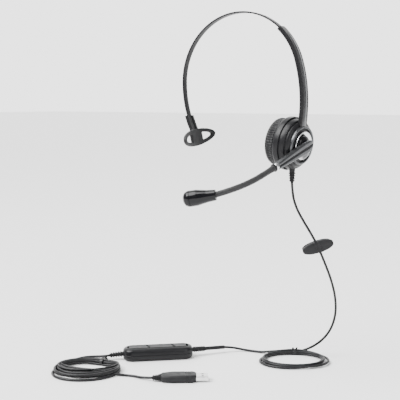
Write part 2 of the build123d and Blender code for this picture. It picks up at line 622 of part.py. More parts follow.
def controller_parts():
    """Two shells, board, switches, screws, three keys and a boot at each end."""
    outside = controller_block(0)
    walls = outside - controller_block(CONTROLLER_WALL)
    for side in (-1, 1):
        boss = Pos(side * SCREW_X, 0, CONTROLLER_HEIGHT / 2) * Cylinder(2.0, CONTROLLER_HEIGHT - 2)
        walls += boss
        walls -= Pos(side * SCREW_X, 0, 4.9) * Cylinder(1.05, 9.8)
        walls -= Pos(side * SCREW_X, 0, 0.8) * Cylinder(1.9, 1.6)
    keyways = None
    for name, (low, high) in KEY_SPANS.items():
        hole = Pos(0, 0, 11) * extrude(key_outline(low, high, KEY_GAP), 6)
        keyways = hole if keyways is None else keyways + hole
    lower_half = bar(200, 200, -1, CONTROLLER_SEAM)
    upper_half = bar(200, 200, CONTROLLER_SEAM, 30)
    parts["controller_bottom"] = CONTROLLER * (walls & lower_half)
    parts["controller_top"] = CONTROLLER * ((walls & upper_half) - keyways)

    board = bar(62, 15, 5.0, 6.2)
    parts["controller_board"] = CONTROLLER * board
    switches = []
    for name, (low, high) in KEY_SPANS.items():
        middle = (low + high) / 2
        switches.append(Pos(middle, 0, 7.3) * Box(6.2, 6.2, 2.2) + Pos(middle, 0, 8.6) * Cylinder(1.7, 0.5))
        cap = Pos(0, 0, 12.8) * extrude(key_outline(low, high, 0), KEY_TOP - 12.8)
        cap = chamfer(cap.faces().sort_by(Axis.Z)[-1].edges(), 0.5)
        cap += Pos(0, 0, 11.2) * extrude(key_outline(low, high, -1.2), 1.6)
        flange = Pos(middle, 0, 11.4) * Box(high - low - 4, 2 * KEY_HALF_WIDTH + 1.4, 0.8)
        stem = Pos(middle, 0, 10.5) * Cylinder(1.6, 1.4)
        parts[name] = CONTROLLER * (cap + flange + stem)
    parts["controller_switches"] = CONTROLLER * Compound(children=switches)
    screws = []
    for side in (-1, 1):
        shank = Pos(0, 0, 5.0) * Cylinder(1.0, 8.0)
        head = Pos(0, 0, 1.1) * Cylinder(1.8, 0.9)
        screws.append(Pos(side * SCREW_X, 0, 0) * (shank + head))
    parts["controller_screws"] = CONTROLLER * Compound(children=screws)

    envelope = CONTROLLER * outside
    right_start = (CONTROLLER * Pos(CONTROLLER_LENGTH / 2 - 2.5, 0, BOOT_HEIGHT)).position
    right_way = Vector(*TAIL_ROUTE[0]) - right_start
    right_boot = ribbed_boot(18, 2.6, 2.3, 6, 4.5) + slab(2.1, 0, right_way.length)
    right = Plane(origin=right_start, z_dir=right_way.normalized()).location * right_boot
    parts["controller_boot_headset"] = right - envelope - parts["headset_cord_tail"]
    left_start = (CONTROLLER * Pos(2.5 - CONTROLLER_LENGTH / 2, 0, BOOT_HEIGHT - 1)).position
    left_way = Vector(*USB_ROUTE[0]) - left_start
    left_boot = ribbed_boot(left_way.length, 2.6, 2.1, 5, 4.5)
    left = Plane(origin=left_start, z_dir=left_way.normalized()).location * left_boot
    parts["controller_boot_usb"] = left - envelope - parts["usb_cord"]


def plug_parts():
    """Plug: ribbed boot, moulded body, metal shell and the tongue inside it."""
    half = PLUG_LENGTH / 2
    wide = PLUG_WIDTH / 2
    outline = [(-half, -wide + 2.4), (-half + 1.6, -wide + 1.0), (-half + 12, -wide), (half - 3, -wide),
               (half, -wide + 2.2), (half, wide - 2.2), (half - 3, wide), (-half + 12, wide),
               (-half + 1.6, wide - 1.0), (-half, wide - 2.4)]
    body = extrude(make_face(Polyline(*outline, close=True)), PLUG_HEIGHT)
    body = chamfer(body.edges().filter_by(Plane.XY), 0.8)
    for offset in (7.0, 9.4, 11.8):
        for height in (0, PLUG_HEIGHT):
            body -= Pos(offset, 0, height) * Box(1.0, 9.0, 0.8)
    middle = PLUG_HEIGHT / 2
    mouth = Pos(half, 0, middle) * Box(SHELL_REACH, SHELL_WIDTH, SHELL_HEIGHT)
    parts["plug_body"] = PLUG * (body - mouth)
    shell = Pos(half + SHELL_REACH / 4, 0, middle) * (
        Box(SHELL_REACH * 1.5, SHELL_WIDTH, SHELL_HEIGHT) - Box(SHELL_REACH * 1.5 + 1, SHELL_WIDTH - 0.7,
                                                                SHELL_HEIGHT - 0.7))
    for side in (-1, 1):
        shell -= Pos(half + 6.4, side * 2.9, middle) * Box(2.4, 2.2, 20)
    parts["plug_shell"] = PLUG * shell
    tongue = Pos(half + SHELL_REACH / 4 - 0.6, 0, middle - 0.92) * Box(SHELL_REACH * 1.5 - 1.4, 11.0, 1.9)
    parts["plug_tongue"] = PLUG * tongue

    start = (PLUG * Pos(-half, 0, middle)).position
    way = Vector(*USB_TAIL_ROUTE[-1]) - start
    boot = ribbed_boot(way.length, 3.1, 2.1, 4, 1.0)
    boot = Plane(origin=start, z_dir=way.normalized()).location * boot
    parts["plug_boot"] = boot - parts["plug_body"] - parts["usb_cord_tail"]


outline = housing_outline()
housing_envelope = CUP.location * outline
band_parts(CUP.location * turned(ARM_FOOT_CONE))
temple_parts()
disc_parts(outline)
cup_parts()
gooseneck_start = boom_parts()
print("gooseneck starts at", gooseneck_start)
gooseneck_parts(gooseneck_start)
cord_parts(housing_envelope)
clip_parts()
controller_parts()
plug_parts()

os.makedirs("parts", exist_ok=True)
for name, shape in parts.items():
    export_step(shape, f"parts/{name}.step")
print(len(parts), "parts")
print("cup axis", CUP.z_dir, "cup back", CUP.x_dir, "cup up", CUP.y_dir)
print("boom", BOOM.x_dir, "clip", CLIP.origin, CLIP.x_dir, CLIP.y_dir, CLIP.z_dir)
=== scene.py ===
import json
import math

import bpy
import bmesh
from mathutils import Matrix, Vector, noise


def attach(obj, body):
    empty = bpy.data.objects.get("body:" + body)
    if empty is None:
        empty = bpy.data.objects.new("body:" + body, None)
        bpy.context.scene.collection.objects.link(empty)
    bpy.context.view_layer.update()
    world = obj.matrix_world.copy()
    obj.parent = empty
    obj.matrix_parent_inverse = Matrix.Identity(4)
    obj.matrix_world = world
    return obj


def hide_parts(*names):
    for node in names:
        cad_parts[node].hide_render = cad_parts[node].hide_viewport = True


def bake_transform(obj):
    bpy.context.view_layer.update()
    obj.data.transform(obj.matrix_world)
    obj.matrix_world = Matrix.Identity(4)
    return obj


# Office headset. Lengths in this file are in millimetres unless a name ends in _M, and pieces are scaled to
# metres when they are made. +X points to the ear cup, the wearer faces -Y, +Z is up.

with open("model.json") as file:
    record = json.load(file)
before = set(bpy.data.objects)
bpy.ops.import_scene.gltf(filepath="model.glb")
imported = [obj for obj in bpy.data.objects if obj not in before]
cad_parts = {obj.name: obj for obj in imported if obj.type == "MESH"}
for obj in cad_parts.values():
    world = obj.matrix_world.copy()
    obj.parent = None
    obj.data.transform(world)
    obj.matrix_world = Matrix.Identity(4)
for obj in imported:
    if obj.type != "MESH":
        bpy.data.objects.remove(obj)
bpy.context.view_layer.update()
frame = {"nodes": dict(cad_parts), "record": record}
nodes = frame["nodes"]
MM = 0.001
WELD = 0.002
FLOOR = -243.0
BACKDROP_DIRECTION = (-0.557, 0.826, 0.08)
BACKDROP_STRENGTHS = (0.45, 3.0)
FLOOR_HALF_M = 14.0
CAMERA_PLACE_M = (0.4377, -0.730, 0.043)
CAMERA_WAY = (-0.5547, 0.8224, -0.1260)
CAMERA_LENS = 70.83

# Headband
BAND_CENTRE = (-2.7, 62.6)
BAND_RADIUS = 72.6
LEFT_CENTRE = (39.7, 62.6)
LEFT_RADIUS = 115.0
ARM_CENTRE = (-76.72, 39.97)
ARM_RADIUS = 150.0
STRIP_END = 19.0
LEFT_END = 207.0
ARM_TOP = 48.0
ARM_BEND = 17.0
ARM_BOTTOM = -9.0
SPINE_TOP = 41
TOP_ARC = (BAND_CENTRE, BAND_RADIUS)
LEFT_ARC = (LEFT_CENTRE, LEFT_RADIUS)
ARM_ARC = (ARM_CENTRE, ARM_RADIUS, ARM_BEND, ARM_BOTTOM)
ARM_HALF_DEPTH = 2.3

# Ear cup and boom
CUP_CENTRE = (72.0, 0.0, -3.4)
CUP_AXIS = (0.985768, -0.121037, -0.116671)
CUP_BACK = (0.121869, 0.992546, 0.0)
BOOM_DIRECTION = (-0.157937, -0.904555, -0.396026)
BALL_HEIGHT = -14.0
RIM_FRONT = -11.25
NOTCH_FLOOR = -15.0
NOTCH_HALF_WIDTH = 4.0
GOOSENECK_RADIUS = 2.9
GOOSENECK_ROUTE = [
    (64.39, -46.80, -23.92),
    (59.5, -63.0, -31.0),
    (54.0, -77.0, -36.5),
    (46.5, -88.0, -41.0),
    (38.0, -96.5, -44.7),
    (30.0, -101.5, -47.5),
]
MIC_TIP = (2.5, -113.5, -52.5)
BOOM_LENGTH = 46.5
BOOM_ROOT_HEIGHT = 7.0
BOOM_FALL = 5.8
RIB_COUNT = 52

# Cords
CORD_DIAMETER = 2.7
HEADSET_ROUTE = [
    (60.1, 1.5, -42.0),
    (60.6, 2.2, -56.0),
    (64.0, 5.8, -70.5),
    (69.9, 11.2, -84.5),
    (76.3, 16.9, -98.0),
    (81.9, 22.2, -112.0),
    (86.8, 29.0, -130.0),
    (91.2, 36.4, -149.0),
    (93.6, 42.8, -169.0),
    (92.4, 47.6, -188.5),
    (86.0, 51.4, -207.0),
    (75.0, 53.6, -222.5),
    (61.0, 52.5, -234.0),
]
TAIL_ROUTE = [
    (3.0, 26.0, -241.6),
    (-9.5, 22.3, -241.0),
    (-19.3, 14.9, -238.0),
    (-25.5, 6.5, -236.5),
]
USB_ROUTE = [
    (-117.6, -86.0, -238.0),
    (-126.5, -87.0, -240.4),
    (-136.0, -89.5, -241.6),
    (-143.3, -96.5, -241.6),
    (-146.8, -107.0, -241.6),
    (-146.3, -118.0, -240.8),
]
USB_TAIL_ROUTE = [
    (-80.0, -124.0, -240.4),
    (-70.5, -118.2, -241.6),
    (-60.5, -114.4, -241.6),
    (-49.0, -115.4, -241.0),
    (-37.2, -113.4, -239.2),
]
COIL_TURN = 34.0
COIL_BED = -241.6
HEADSET_COIL_CENTRE = (55.5, 21.0)
USB_COIL_CENTRE = (-111.0, -130.0)
HEADSET_TIE_ANGLE = 83.0
USB_TIE_ANGLE = 63.0

CONTROLLER_CENTRE = (-76.7, -51.2)
CONTROLLER_TURN = 42.3
CONTROLLER_LENGTH = 77.6
CONTROLLER_WIDTH = 23.0
CONTROLLER_CORNER = 10.6
PLUG_CENTRE = (-15.5, -97.4)
PLUG_TURN = 36.3
PLUG_HALF_LENGTH = 18.3
PLUG_HALF_WIDTH = 8.0
PLUG_AXIS_HEIGHT = 4.0
CLIP_CENTRE = (79.9199, 24.5723, -111.753)
CLIP_X = (0.748768, 0.594404, 0.293309)
CLIP_Z = (0.638751, -0.765267, -0.079776)
CLIP_GROOVE_TURN = -76.0
KEY_SPANS = {"key_volume_down": (-32.6, -11.7), "key_mute": (-10.3, 16.1), "key_volume_up": (17.5, 31.6)}


# ---- placing and mesh helpers ----


def placed(origin, x_dir, z_dir):
    """Matrix of a local frame, in millimetres."""
    z = Vector(z_dir).normalized()
    x = Vector(x_dir)
    x = (x - z * x.dot(z)).normalized()
    matrix = Matrix((x, z.cross(x), z)).transposed().to_4x4()
    matrix.translation = Vector(origin)
    return matrix


def turned_on_floor(centre, degrees):
    """Matrix of a frame that lies on the surface, turned about its upright axis."""
    angle = math.radians(degrees)
    return placed((centre[0], centre[1], FLOOR), (math.cos(angle), math.sin(angle), 0), (0, 0, 1))


CUP = placed(CUP_CENTRE, CUP_BACK, CUP_AXIS)
BOOM = placed(CUP_CENTRE, BOOM_DIRECTION, CUP_AXIS)
CONTROLLER = turned_on_floor(CONTROLLER_CENTRE, CONTROLLER_TURN)
PLUG = turned_on_floor(PLUG_CENTRE, PLUG_TURN)
CLIP = placed(CLIP_CENTRE, CLIP_X, CLIP_Z)


def rounded(corners, closed=False, steps=4):
    """Profile with an arc in place of each corner. A corner is (across, along, radius)."""
    points = []
    count = len(corners)
    for index, (across, along, radius) in enumerate(corners):
        here = Vector((across, along))
        if radius == 0 or (not closed and index in (0, count - 1)):
            points.append(tuple(here))
            continue
        way_in = Vector(corners[index - 1][:2]) - here
        way_out = Vector(corners[(index + 1) % count][:2]) - here
        half = way_in.angle(way_out) / 2
        if half > 1.54:
            points.append(tuple(here))
            continue
        cut = min(radius / math.tan(half), 0.45 * way_in.length, 0.45 * way_out.length)
        reach = cut * math.tan(half)
        way_in.normalize()
        way_out.normalize()
        centre = here + (way_in + way_out).normalized() * (reach / math.sin(half))
        start = here + way_in * cut - centre
        end = here + way_out * cut - centre
        for step in range(steps + 1):
            spoke = start.lerp(end, step / steps).normalized() * reach
            points.append(tuple(centre + spoke))
    return points


def rounded_box(width, height, radius, steps=4):
    """Rounded rectangle about the origin."""
    w, h = width / 2, height / 2
    return rounded([(-w, -h, radius), (w, -h, radius), (w, h, radius), (-w, h, radius)], True, steps)


def linked(name, data):
    """New object in the scene."""
    made = bpy.data.objects.new(name, data)
    bpy.context.scene.collection.objects.link(made)
    return made


def new_piece(name, shape, body, slot, stands_for=(), sharp=38.0):
    """Mesh piece from (points, faces) in millimetres, riding on one body."""
    points, faces = shape
    bm = bmesh.new()
    vertices = [bm.verts.new(Vector(point)) for point in points]
    for face in faces:
        try:
            bm.faces.new([vertices[index] for index in face])
        except ValueError:
            continue
    bmesh.ops.remove_doubles(bm, verts=bm.verts, dist=WELD)
    bmesh.ops.dissolve_degenerate(bm, edges=bm.edges, dist=WELD / 2)
    bmesh.ops.recalc_face_normals(bm, faces=bm.faces)
    bmesh.ops.scale(bm, vec=(MM, MM, MM), verts=bm.verts)
    mesh = bpy.data.meshes.new(name)
    bm.to_mesh(mesh)
    bm.free()
    return finish_piece(name, mesh, body, slot, stands_for, sharp)


def finish_piece(name, mesh, body, slot, stands_for, sharp):
    """Object for a finished mesh, with its material and body; the nodes it stands for are hidden."""
    mesh.polygons.foreach_set("use_smooth", [True] * len(mesh.polygons))
    if sharp:
        mesh.set_sharp_from_angle(angle=math.radians(sharp))
    piece = linked(name, mesh)
    mesh.materials.append(materials[slot])
    if body:
        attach(piece, body)
    if stands_for:
        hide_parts(*stands_for)
    return piece


def joined(*shapes):
    """One (points, faces) pair from several."""
    points, faces = [], []
    for shape_points, shape_faces in shapes:
        start = len(points)
        points.extend(shape_points)
        faces.extend([tuple(index + start for index in face) for face in shape_faces])
    return points, faces


def turned_faces(segments, count, closed):
    """Faces between the rows of a surface turned round an axis."""
    faces = []
    for segment in range(segments):
        after = (segment + 1) % segments
        for index in range(count if closed else count - 1):
            other = (index + 1) % count
            faces.append((segment * count + index, after * count + index, after * count + other,
                          segment * count + other))
    return faces


def lathed(profile, place, segments=96, closed=False):
    """Surface turned about the local z axis from (radius, height) points."""
    points = []
    for segment in range(segments):
        angle = 2 * math.pi * segment / segments
        for radius, height in profile:
            points.append(place @ Vector((radius * math.cos(angle), radius * math.sin(angle), height)))
    return points, turned_faces(segments, len(profile), closed)


def lofted(rings):
    """Surface through rings of points, with its ends closed."""
    count = len(rings[0])
    points = [point for ring in rings for point in ring]
    faces = []
    for row in range(len(rings) - 1):
        for index in range(count):
            other = (index + 1) % count
            faces.append((row * count + index, row * count + other, (row + 1) * count + other,
                          (row + 1) * count + index))
    faces.append(tuple(range(count)))
    faces.append(tuple(range((len(rings) - 1) * count, len(rings) * count)))
    return points, faces


def soft_ends(rings, radius, steps=3):
    """The rings with a rounded edge added at both ends."""
    def cap(ring, beside):
        middle = sum(ring, Vector()) / len(ring)
        outward = (middle - sum(beside, Vector()) / len(beside)).normalized()
        added = []
        for step in range(1, steps + 1):
            angle = math.pi / 2 * step / steps
            inset = radius * (1 - math.cos(angle))
            lift = outward * radius * math.sin(angle)
            added.append([point + (middle - point).normalized() * inset + lift for point in ring])
        return added

    start = cap(rings[0], rings[1])
    end = cap(rings[-1], rings[-2])
    return start[::-1] + rings + end


def block(place, size, centre, radius):
    """Box with rounded edges. Its outline is drawn smaller, then scaled back out."""
    outline = rounded_box(size[0] - 2 * radius, size[1] - 2 * radius, radius, 2)
    rings = []
    for side in (-1, 1):
        ring = [place @ (Vector(centre)
                         + Vector((x * (1 + 2 * radius / size[0]), y * (1 + 2 * radius / size[1]),
                                   side * (size[2] / 2 - radius)))) for x, y in outline]
        rings.append(ring)
    return lofted(soft_ends(rings, radius, 2))


def arc_place(centre, radius, degrees):
    """Frame on an arc of the headband: local x is Y, local y points away from the head."""
    angle = math.radians(degrees)
    outward = Vector((math.cos(angle), 0, math.sin(angle)))
    origin = Vector((centre[0], 0, centre[1])) + outward * radius
    matrix = Matrix((Vector((0, 1, 0)), outward, Vector((0, 1, 0)).cross(outward))).transposed().to_4x4()
    matrix.translation = origin
    return matrix


def arc_places(spans, step=1.5):
    """Frames along consecutive arcs, each (centre, radius, first degrees, last degrees)."""
    places = []
    for centre, radius, first, last in spans:
        count = max(2, round(abs(last - first) / step))
        for index in range(count + 1):
            if places and index == 0:
                continue
            places.append(arc_place(centre, radius, first + (last - first) * index / count))
    return places


def spline_curve(name, points, per_span):
    """Curve data with one smooth spline that follows a route."""
    curve = bpy.data.curves.new(name, "CURVE")
    curve.dimensions = "3D"
    spline = curve.splines.new("NURBS")
    spline.points.add(len(points) - 1)
    for control, point in zip(spline.points, points):
        control.co = (*point, 1)
    spline.order_u = 3
    spline.use_endpoint_u = True
    curve.resolution_u = per_span
    return curve


def nurbs_line(points):
    """Points in millimetres along the smooth line that follows a route."""
    curve = spline_curve("line", points, 12)
    bare = bpy.data.objects.new("line", curve)
    mesh = bpy.data.meshes.new_from_object(bare)
    line = [vertex.co.copy() for vertex in mesh.vertices]
    bpy.data.meshes.remove(mesh)
    bpy.data.curves.remove(curve)
    return line


def spaced(line, count):
    """The same line with evenly spaced points."""
    along = [0.0]
    for before, after in zip(line, line[1:]):
        along.append(along[-1] + (after - before).length)
    result = []
    index = 0
    for step in range(count):
        target = along[-1] * step / (count - 1)
        while index < len(along) - 2 and along[index + 1] < target:
            index += 1
        span = max(along[index + 1] - along[index], 1e-9)
        result.append(line[index].lerp(line[index + 1], min(1.0, (target - along[index]) / span)))
    return result


def tube_places(line):
    """Frames along a line that don't twist."""
    places = []
    side = None
    for index, point in enumerate(line):
        before = line[max(index - 1, 0)]
        after = line[min(index + 1, len(line) - 1)]
        direction = (after - before).normalized()
        if side is None:
            side = direction.orthogonal()
        side = (side - direction * side.dot(direction)).normalized()
        matrix = Matrix((side, direction.cross(side), direction)).transposed().to_4x4()
        matrix.translation = point
        places.append(matrix)
    return places


def circle(radius, count=32):
    """Points round a circle."""
    return [(radius * math.cos(2 * math.pi * k / count), radius * math.sin(2 * math.pi * k / count))
            for k in range(count)]


def ring_at(place, outline):
    """Outline points placed in space."""
    return [place @ Vector((x, y, 0)) for x, y in outline]


# ---- materials ----


def material(name, color, roughness, metallic=0.0, coat=0.0, coat_roughness=0.1, specular=0.5, sheen=0.0):
    """Principled material with constant values on its own sockets."""
    made = bpy.data.materials.new(name)
    made.use_nodes = True
    shader = made.node_tree.nodes["Principled BSDF"]
    shader.inputs["Base Color"].default_value = (*color, 1)
    shader.inputs["Roughness"].default_value = roughness
    shader.inputs["Metallic"].default_value = metallic
    shader.inputs["Coat Weight"].default_value = coat
    shader.inputs["Coat Roughness"].default_value = coat_roughness
    shader.inputs["Specular IOR Level"].default_value = specular
    shader.inputs["Sheen Weight"].default_value = sheen
    shader.inputs["Sheen Roughness"].default_value = 0.45
    return made


def node(made, kind, **values):
    """New node with its properties and inputs set."""
    found = made.node_tree.nodes.new(kind)
    for key, value in values.items():
        if key in found.inputs:
            found.inputs[key].default_value = value
        else:
            setattr(found, key, value)
    return found


def link(made, output, target):
    made.node_tree.links.new(output, target)


def spread_value(made, value, source, result, target):
    """Link a value to a socket, with its range stretched from source to result."""
    spread = node(made, "ShaderNodeMapRange")
    spread.inputs["From Min"].default_value, spread.inputs["From Max"].default_value = source
    spread.inputs["To Min"].default_value, spread.inputs["To Max"].default_value = result
    link(made, value, spread.inputs["Value"])
    link(made, spread.outputs["Result"], target)


def texture_space(made, scale=(1, 1, 1)):
    """Object coordinates in metres."""
    coordinate = node(made, "ShaderNodeTexCoord")
    mapping = node(made, "ShaderNodeMapping")
    mapping.inputs["Scale"].default_value = scale
    link(made, coordinate.outputs["Object"], mapping.inputs["Vector"])
    return mapping.outputs["Vector"]


def mottle_color(made, dark, light, scale):
    """Slow variation between two colours."""
    shader = made.node_tree.nodes["Principled BSDF"]
    pattern = node(made, "ShaderNodeTexNoise", Scale=scale, Detail=4.0, Roughness=0.6)
    link(made, texture_space(made), pattern.inputs["Vector"])
    ramp = node(made, "ShaderNodeValToRGB")
    ramp.color_ramp.elements[0].position = 0.3
    ramp.color_ramp.elements[0].color = (*dark, 1)
    ramp.color_ramp.elements[1].position = 0.72
    ramp.color_ramp.elements[1].color = (*light, 1)
    link(made, pattern.outputs["Fac"], ramp.inputs["Fac"])
    link(made, ramp.outputs["Color"], shader.inputs["Base Color"])


def vary_roughness(made, low, high, scale):
    """Smudges and rubbed places in the gloss."""
    shader = made.node_tree.nodes["Principled BSDF"]
    pattern = node(made, "ShaderNodeTexNoise", Scale=scale, Detail=3.0, Roughness=0.55)
    link(made, texture_space(made), pattern.inputs["Vector"])
    spread_value(made, pattern.outputs["Fac"], (0.3, 0.7), (low, high), shader.inputs["Roughness"])


def bump(made, height, strength, distance):
    """Small relief from a height, over any relief already there."""
    shader = made.node_tree.nodes["Principled BSDF"]
    relief = node(made, "ShaderNodeBump", Strength=strength, Distance=distance)
    link(made, height, relief.inputs["Height"])
    if shader.inputs["Normal"].is_linked:
        link(made, shader.inputs["Normal"].links[0].from_socket, relief.inputs["Normal"])
    link(made, relief.outputs["Normal"], shader.inputs["Normal"])


def grain(made, scale, strength, distance, stretch=(1, 1, 1)):
    """Fine moulded or sprayed grain."""
    pattern = node(made, "ShaderNodeTexNoise", Scale=scale, Detail=2.0, Roughness=0.5)
    link(made, texture_space(made, stretch), pattern.inputs["Vector"])
    bump(made, pattern.outputs["Fac"], strength, distance)


def pebbles(made, scale, strength, distance):
    """Leather grain: small cells parted by creases."""
    warp = node(made, "ShaderNodeTexNoise", Scale=scale * 0.35, Detail=2.0)
    space = texture_space(made)
    link(made, space, warp.inputs["Vector"])
    mixed = node(made, "ShaderNodeVectorMath", operation="MULTIPLY_ADD")
    mixed.inputs[1].default_value = (0.0006, 0.0006, 0.0006)
    link(made, warp.outputs["Color"], mixed.inputs[0])
    link(made, space, mixed.inputs[2])
    cells = node(made, "ShaderNodeTexVoronoi", Scale=scale)
    cells.feature = "DISTANCE_TO_EDGE"
    link(made, mixed.outputs["Vector"], cells.inputs["Vector"])
    ramp = node(made, "ShaderNodeValToRGB")
    ramp.color_ramp.elements[0].position = 0.0
    ramp.color_ramp.elements[1].position = 0.28
    link(made, cells.outputs["Distance"], ramp.inputs["Fac"])
    bump(made, ramp.outputs["Color"], strength, distance)


def weave(made, scale, strength, distance):
    """Threads over and under."""
    space = texture_space(made)
    heights = []
    for direction in ("X", "Y"):
        wave = node(made, "ShaderNodeTexWave", Scale=scale)
        wave.bands_direction = direction
        link(made, space, wave.inputs["Vector"])
        heights.append(wave.outputs["Fac"])
    product = node(made, "ShaderNodeMath", operation="MULTIPLY")
    link(made, heights[0], product.inputs[0])
    link(made, heights[1], product.inputs[1])
    bump(made, product.outputs["Value"], strength, distance)


def tint(value):
    """Near-black with a trace of blue."""
    return (value, value, value + 0.001)


# Colour, roughness, other shader values, the slow change of colour (dark, light, scale), the change of
# roughness (low, high, scale) and the grain (scale, strength, distance in metres, stretch).
STEEL_GRAIN = (900, 0.2, 0.00008, (1, 1, 14))
FINISHES = {
    "black_satin": (tint(0.006), 0.36, {"specular": 0.22}, (tint(0.005), tint(0.008), 120),
                    (0.30, 0.42, 90), (2600, 0.1, 0.00006)),
    "black_gloss": (tint(0.003), 0.14, {"coat": 0.1, "coat_roughness": 0.04, "specular": 0.22},
                    (tint(0.002), tint(0.004), 60), (0.08, 0.18, 140), (420, 0.04, 0.00006)),
    "black_band": (tint(0.011), 0.36, {"specular": 0.2}, (tint(0.009), tint(0.014), 90), (0.3, 0.44, 120),
                   (1900, 0.08, 0.00006)),
    "silver_paint": ((0.075, 0.077, 0.08), 0.3,
                     {"metallic": 0.9, "coat": 0.1, "coat_roughness": 0.15, "specular": 0.3},
                     ((0.065, 0.067, 0.07), (0.088, 0.09, 0.094), 160), (0.24, 0.34, 200), None),
    "chrome": ((0.78, 0.79, 0.80), 0.09, {"metallic": 1.0}, ((0.74, 0.75, 0.76), (0.82, 0.83, 0.84), 80),
               (0.06, 0.14, 220), (300, 0.03, 0.0001)),
    "spring_steel": ((0.5,) * 3, 0.3, {"metallic": 1.0}, ((0.5 * 0.92,) * 3, (0.5 * 1.06,) * 3, 200),
                     (0.28, 0.4, 260), STEEL_GRAIN),
    "switch_steel": ((0.6,) * 3, 0.3, {"metallic": 1.0}, ((0.6 * 0.92,) * 3, (0.6 * 1.06,) * 3, 200),
                     (0.25, 0.38, 260), STEEL_GRAIN),
    "plug_metal": ((0.74,) * 3, 0.22, {"metallic": 1.0}, ((0.70,) * 3, (0.79, 0.79, 0.78), 180),
                   (0.16, 0.28, 300), (700, 0.1, 0.00006, (1, 1, 9))),
    "plug_tongue": ((0.7, 0.7, 0.68), 0.4, {}, ((0.66, 0.66, 0.64), (0.74, 0.74, 0.72), 200), None,
                    (1500, 0.1, 0.00006)),
    "circuit_board": ((0.01, 0.08, 0.03), 0.35, {"coat": 0.4},
                      ((0.008, 0.06, 0.022), (0.014, 0.10, 0.036), 700), None, (1100, 0.15, 0.00008)),
    "black_rubber": (tint(0.010), 0.5, {"specular": 0.2}, (tint(0.008), tint(0.013), 150),
                     (0.48, 0.64, 160), (2200, 0.15, 0.00008)),
    "soft_black": (tint(0.010), 0.46, {"specular": 0.22, "sheen": 0.02}, (tint(0.008), tint(0.013), 130),
                   (0.42, 0.58, 150), (2400, 0.15, 0.00008)),
    "key_rubber": (tint(0.012), 0.44, {"specular": 0.25, "sheen": 0.02}, (tint(0.010), tint(0.015), 140),
                   (0.42, 0.56, 140), (2600, 0.15, 0.00008)),
    "cord_jacket": (tint(0.008), 0.4, {"specular": 0.25}, (tint(0.006), tint(0.011), 110),
                    (0.34, 0.48, 180), (1700, 0.12, 0.00008)),
    "tie_wire": (tint(0.008), 0.42, {"specular": 0.35}, (tint(0.006), tint(0.011), 240), None,
                 (2400, 0.25, 0.0001)),
    "gooseneck_grey": (tint(0.016), 0.42, {"specular": 0.3}, (tint(0.013), tint(0.02), 170),
                       (0.36, 0.5, 190), (1800, 0.2, 0.0001)),
    "leatherette": (tint(0.006), 0.38, {"specular": 0.25}, (tint(0.005), tint(0.010), 260),
                    (0.32, 0.5, 240), (3800, 0.12, 0.00006)),
    "grille_cloth": (tint(0.02), 0.85, {"sheen": 0.35}, (tint(0.014), (0.03, 0.03, 0.032), 900), None,
                     None),
    "diaphragm_film": ((0.35, 0.35, 0.36), 0.25, {"coat": 0.3},
                       ((0.32, 0.32, 0.33), (0.38, 0.38, 0.39), 200), None, (900, 0.1, 0.00008)),
}


def make_materials():
    """Every material, by the record's slot names."""
    made = {}
    for name, (color, roughness, options, mottle, smudges, relief) in FINISHES.items():
        finish = material(name, color, roughness, **options)
        mottle_color(finish, *mottle)
        if smudges:
            vary_roughness(finish, *smudges)
        if name == "leatherette":
            pebbles(finish, 1500, 0.35, 0.00012)
        if relief:
            grain(finish, *relief)
        made[name] = finish
    weave(made["grille_cloth"], 420, 0.7, 0.0002)
    silver = made["silver_paint"]
    flake = node(silver, "ShaderNodeTexVoronoi", Scale=5200)
    link(silver, texture_space(silver), flake.inputs["Vector"])
    bump(silver, flake.outputs["Distance"], 0.04, 0.00004)
    return made


materials = make_materials()


# ---- headband ----


def sweep_outline(places, outline_at, end_radius=0.0):
    """Surface of an outline along places; outline_at gives the outline for a place."""
    rings = [ring_at(place, outline_at(place)) for place in places]
    if end_radius:
        rings = soft_ends(rings, end_radius)
    return lofted(rings)


def make_band():
    """Coated strip over the head, down to the temple pad."""
    strip_places = arc_places([(*TOP_ARC, STRIP_END, 180), (*LEFT_ARC, 180, LEFT_END - 0.2)])
    outline = rounded_box(7.4, 1.7, 0.55)
    new_piece("headband_strip", sweep_outline(strip_places, lambda place: outline, 0.3), "band",
              "black_band", ["band_strip"], 50)


def arm_width(height):
    """Width of the arm at a height: narrower near its top end."""
    share = min(1.0, max(0.0, (height - 75) / 43))
    return 12.6 - 1.2 * share


def make_arm():
    """Two covers of the arm and the silver spine between them."""
    places = arc_places([(*TOP_ARC, ARM_TOP, ARM_BEND), ARM_ARC], 1.2)

    def outer(place):
        half = arm_width(place.translation.z) / 2
        return rounded([(-half, 0.06, 0.15), (half, 0.06, 0.15), (half, ARM_HALF_DEPTH, 1.5),
                        (-half, ARM_HALF_DEPTH, 1.5)], True, 5)

    def inner(place):
        half = arm_width(place.translation.z) / 2
        return rounded([(-half, -ARM_HALF_DEPTH, 0.9), (half, -ARM_HALF_DEPTH, 0.9), (half, -0.06, 0.15),
                        (-half, -0.06, 0.15)], True, 5)

    new_piece("arm_outer_cover", sweep_outline(places, outer, 0.5), "root", "black_satin",
              ["arm_outer_shell"])
    new_piece("arm_inner_cover", sweep_outline(places, inner, 0.5), "root", "black_satin",
              ["arm_inner_shell"])

    spine_places = arc_places([(*TOP_ARC, SPINE_TOP, ARM_BEND), ARM_ARC], 1.0)

    def spine(place):
        height = place.translation.z
        half = 1.9
        if height > 104:
            half = 1.9 - 0.9 * min(1.0, (height - 104) / 6)
        if height < 30:
            half = 1.9 + 2.4 * ((30 - height) / 14) ** 2
        return rounded([(-half, 1.4, 0.05), (half, 1.4, 0.05), (half, 2.45, 0.35), (0, 2.72, 3.0),
                        (-half, 2.45, 0.35)], True, 4)

    new_piece("arm_silver_spine", sweep_outline(spine_places, spine, 0.35), "root", "silver_paint",
              ["arm_spine"])


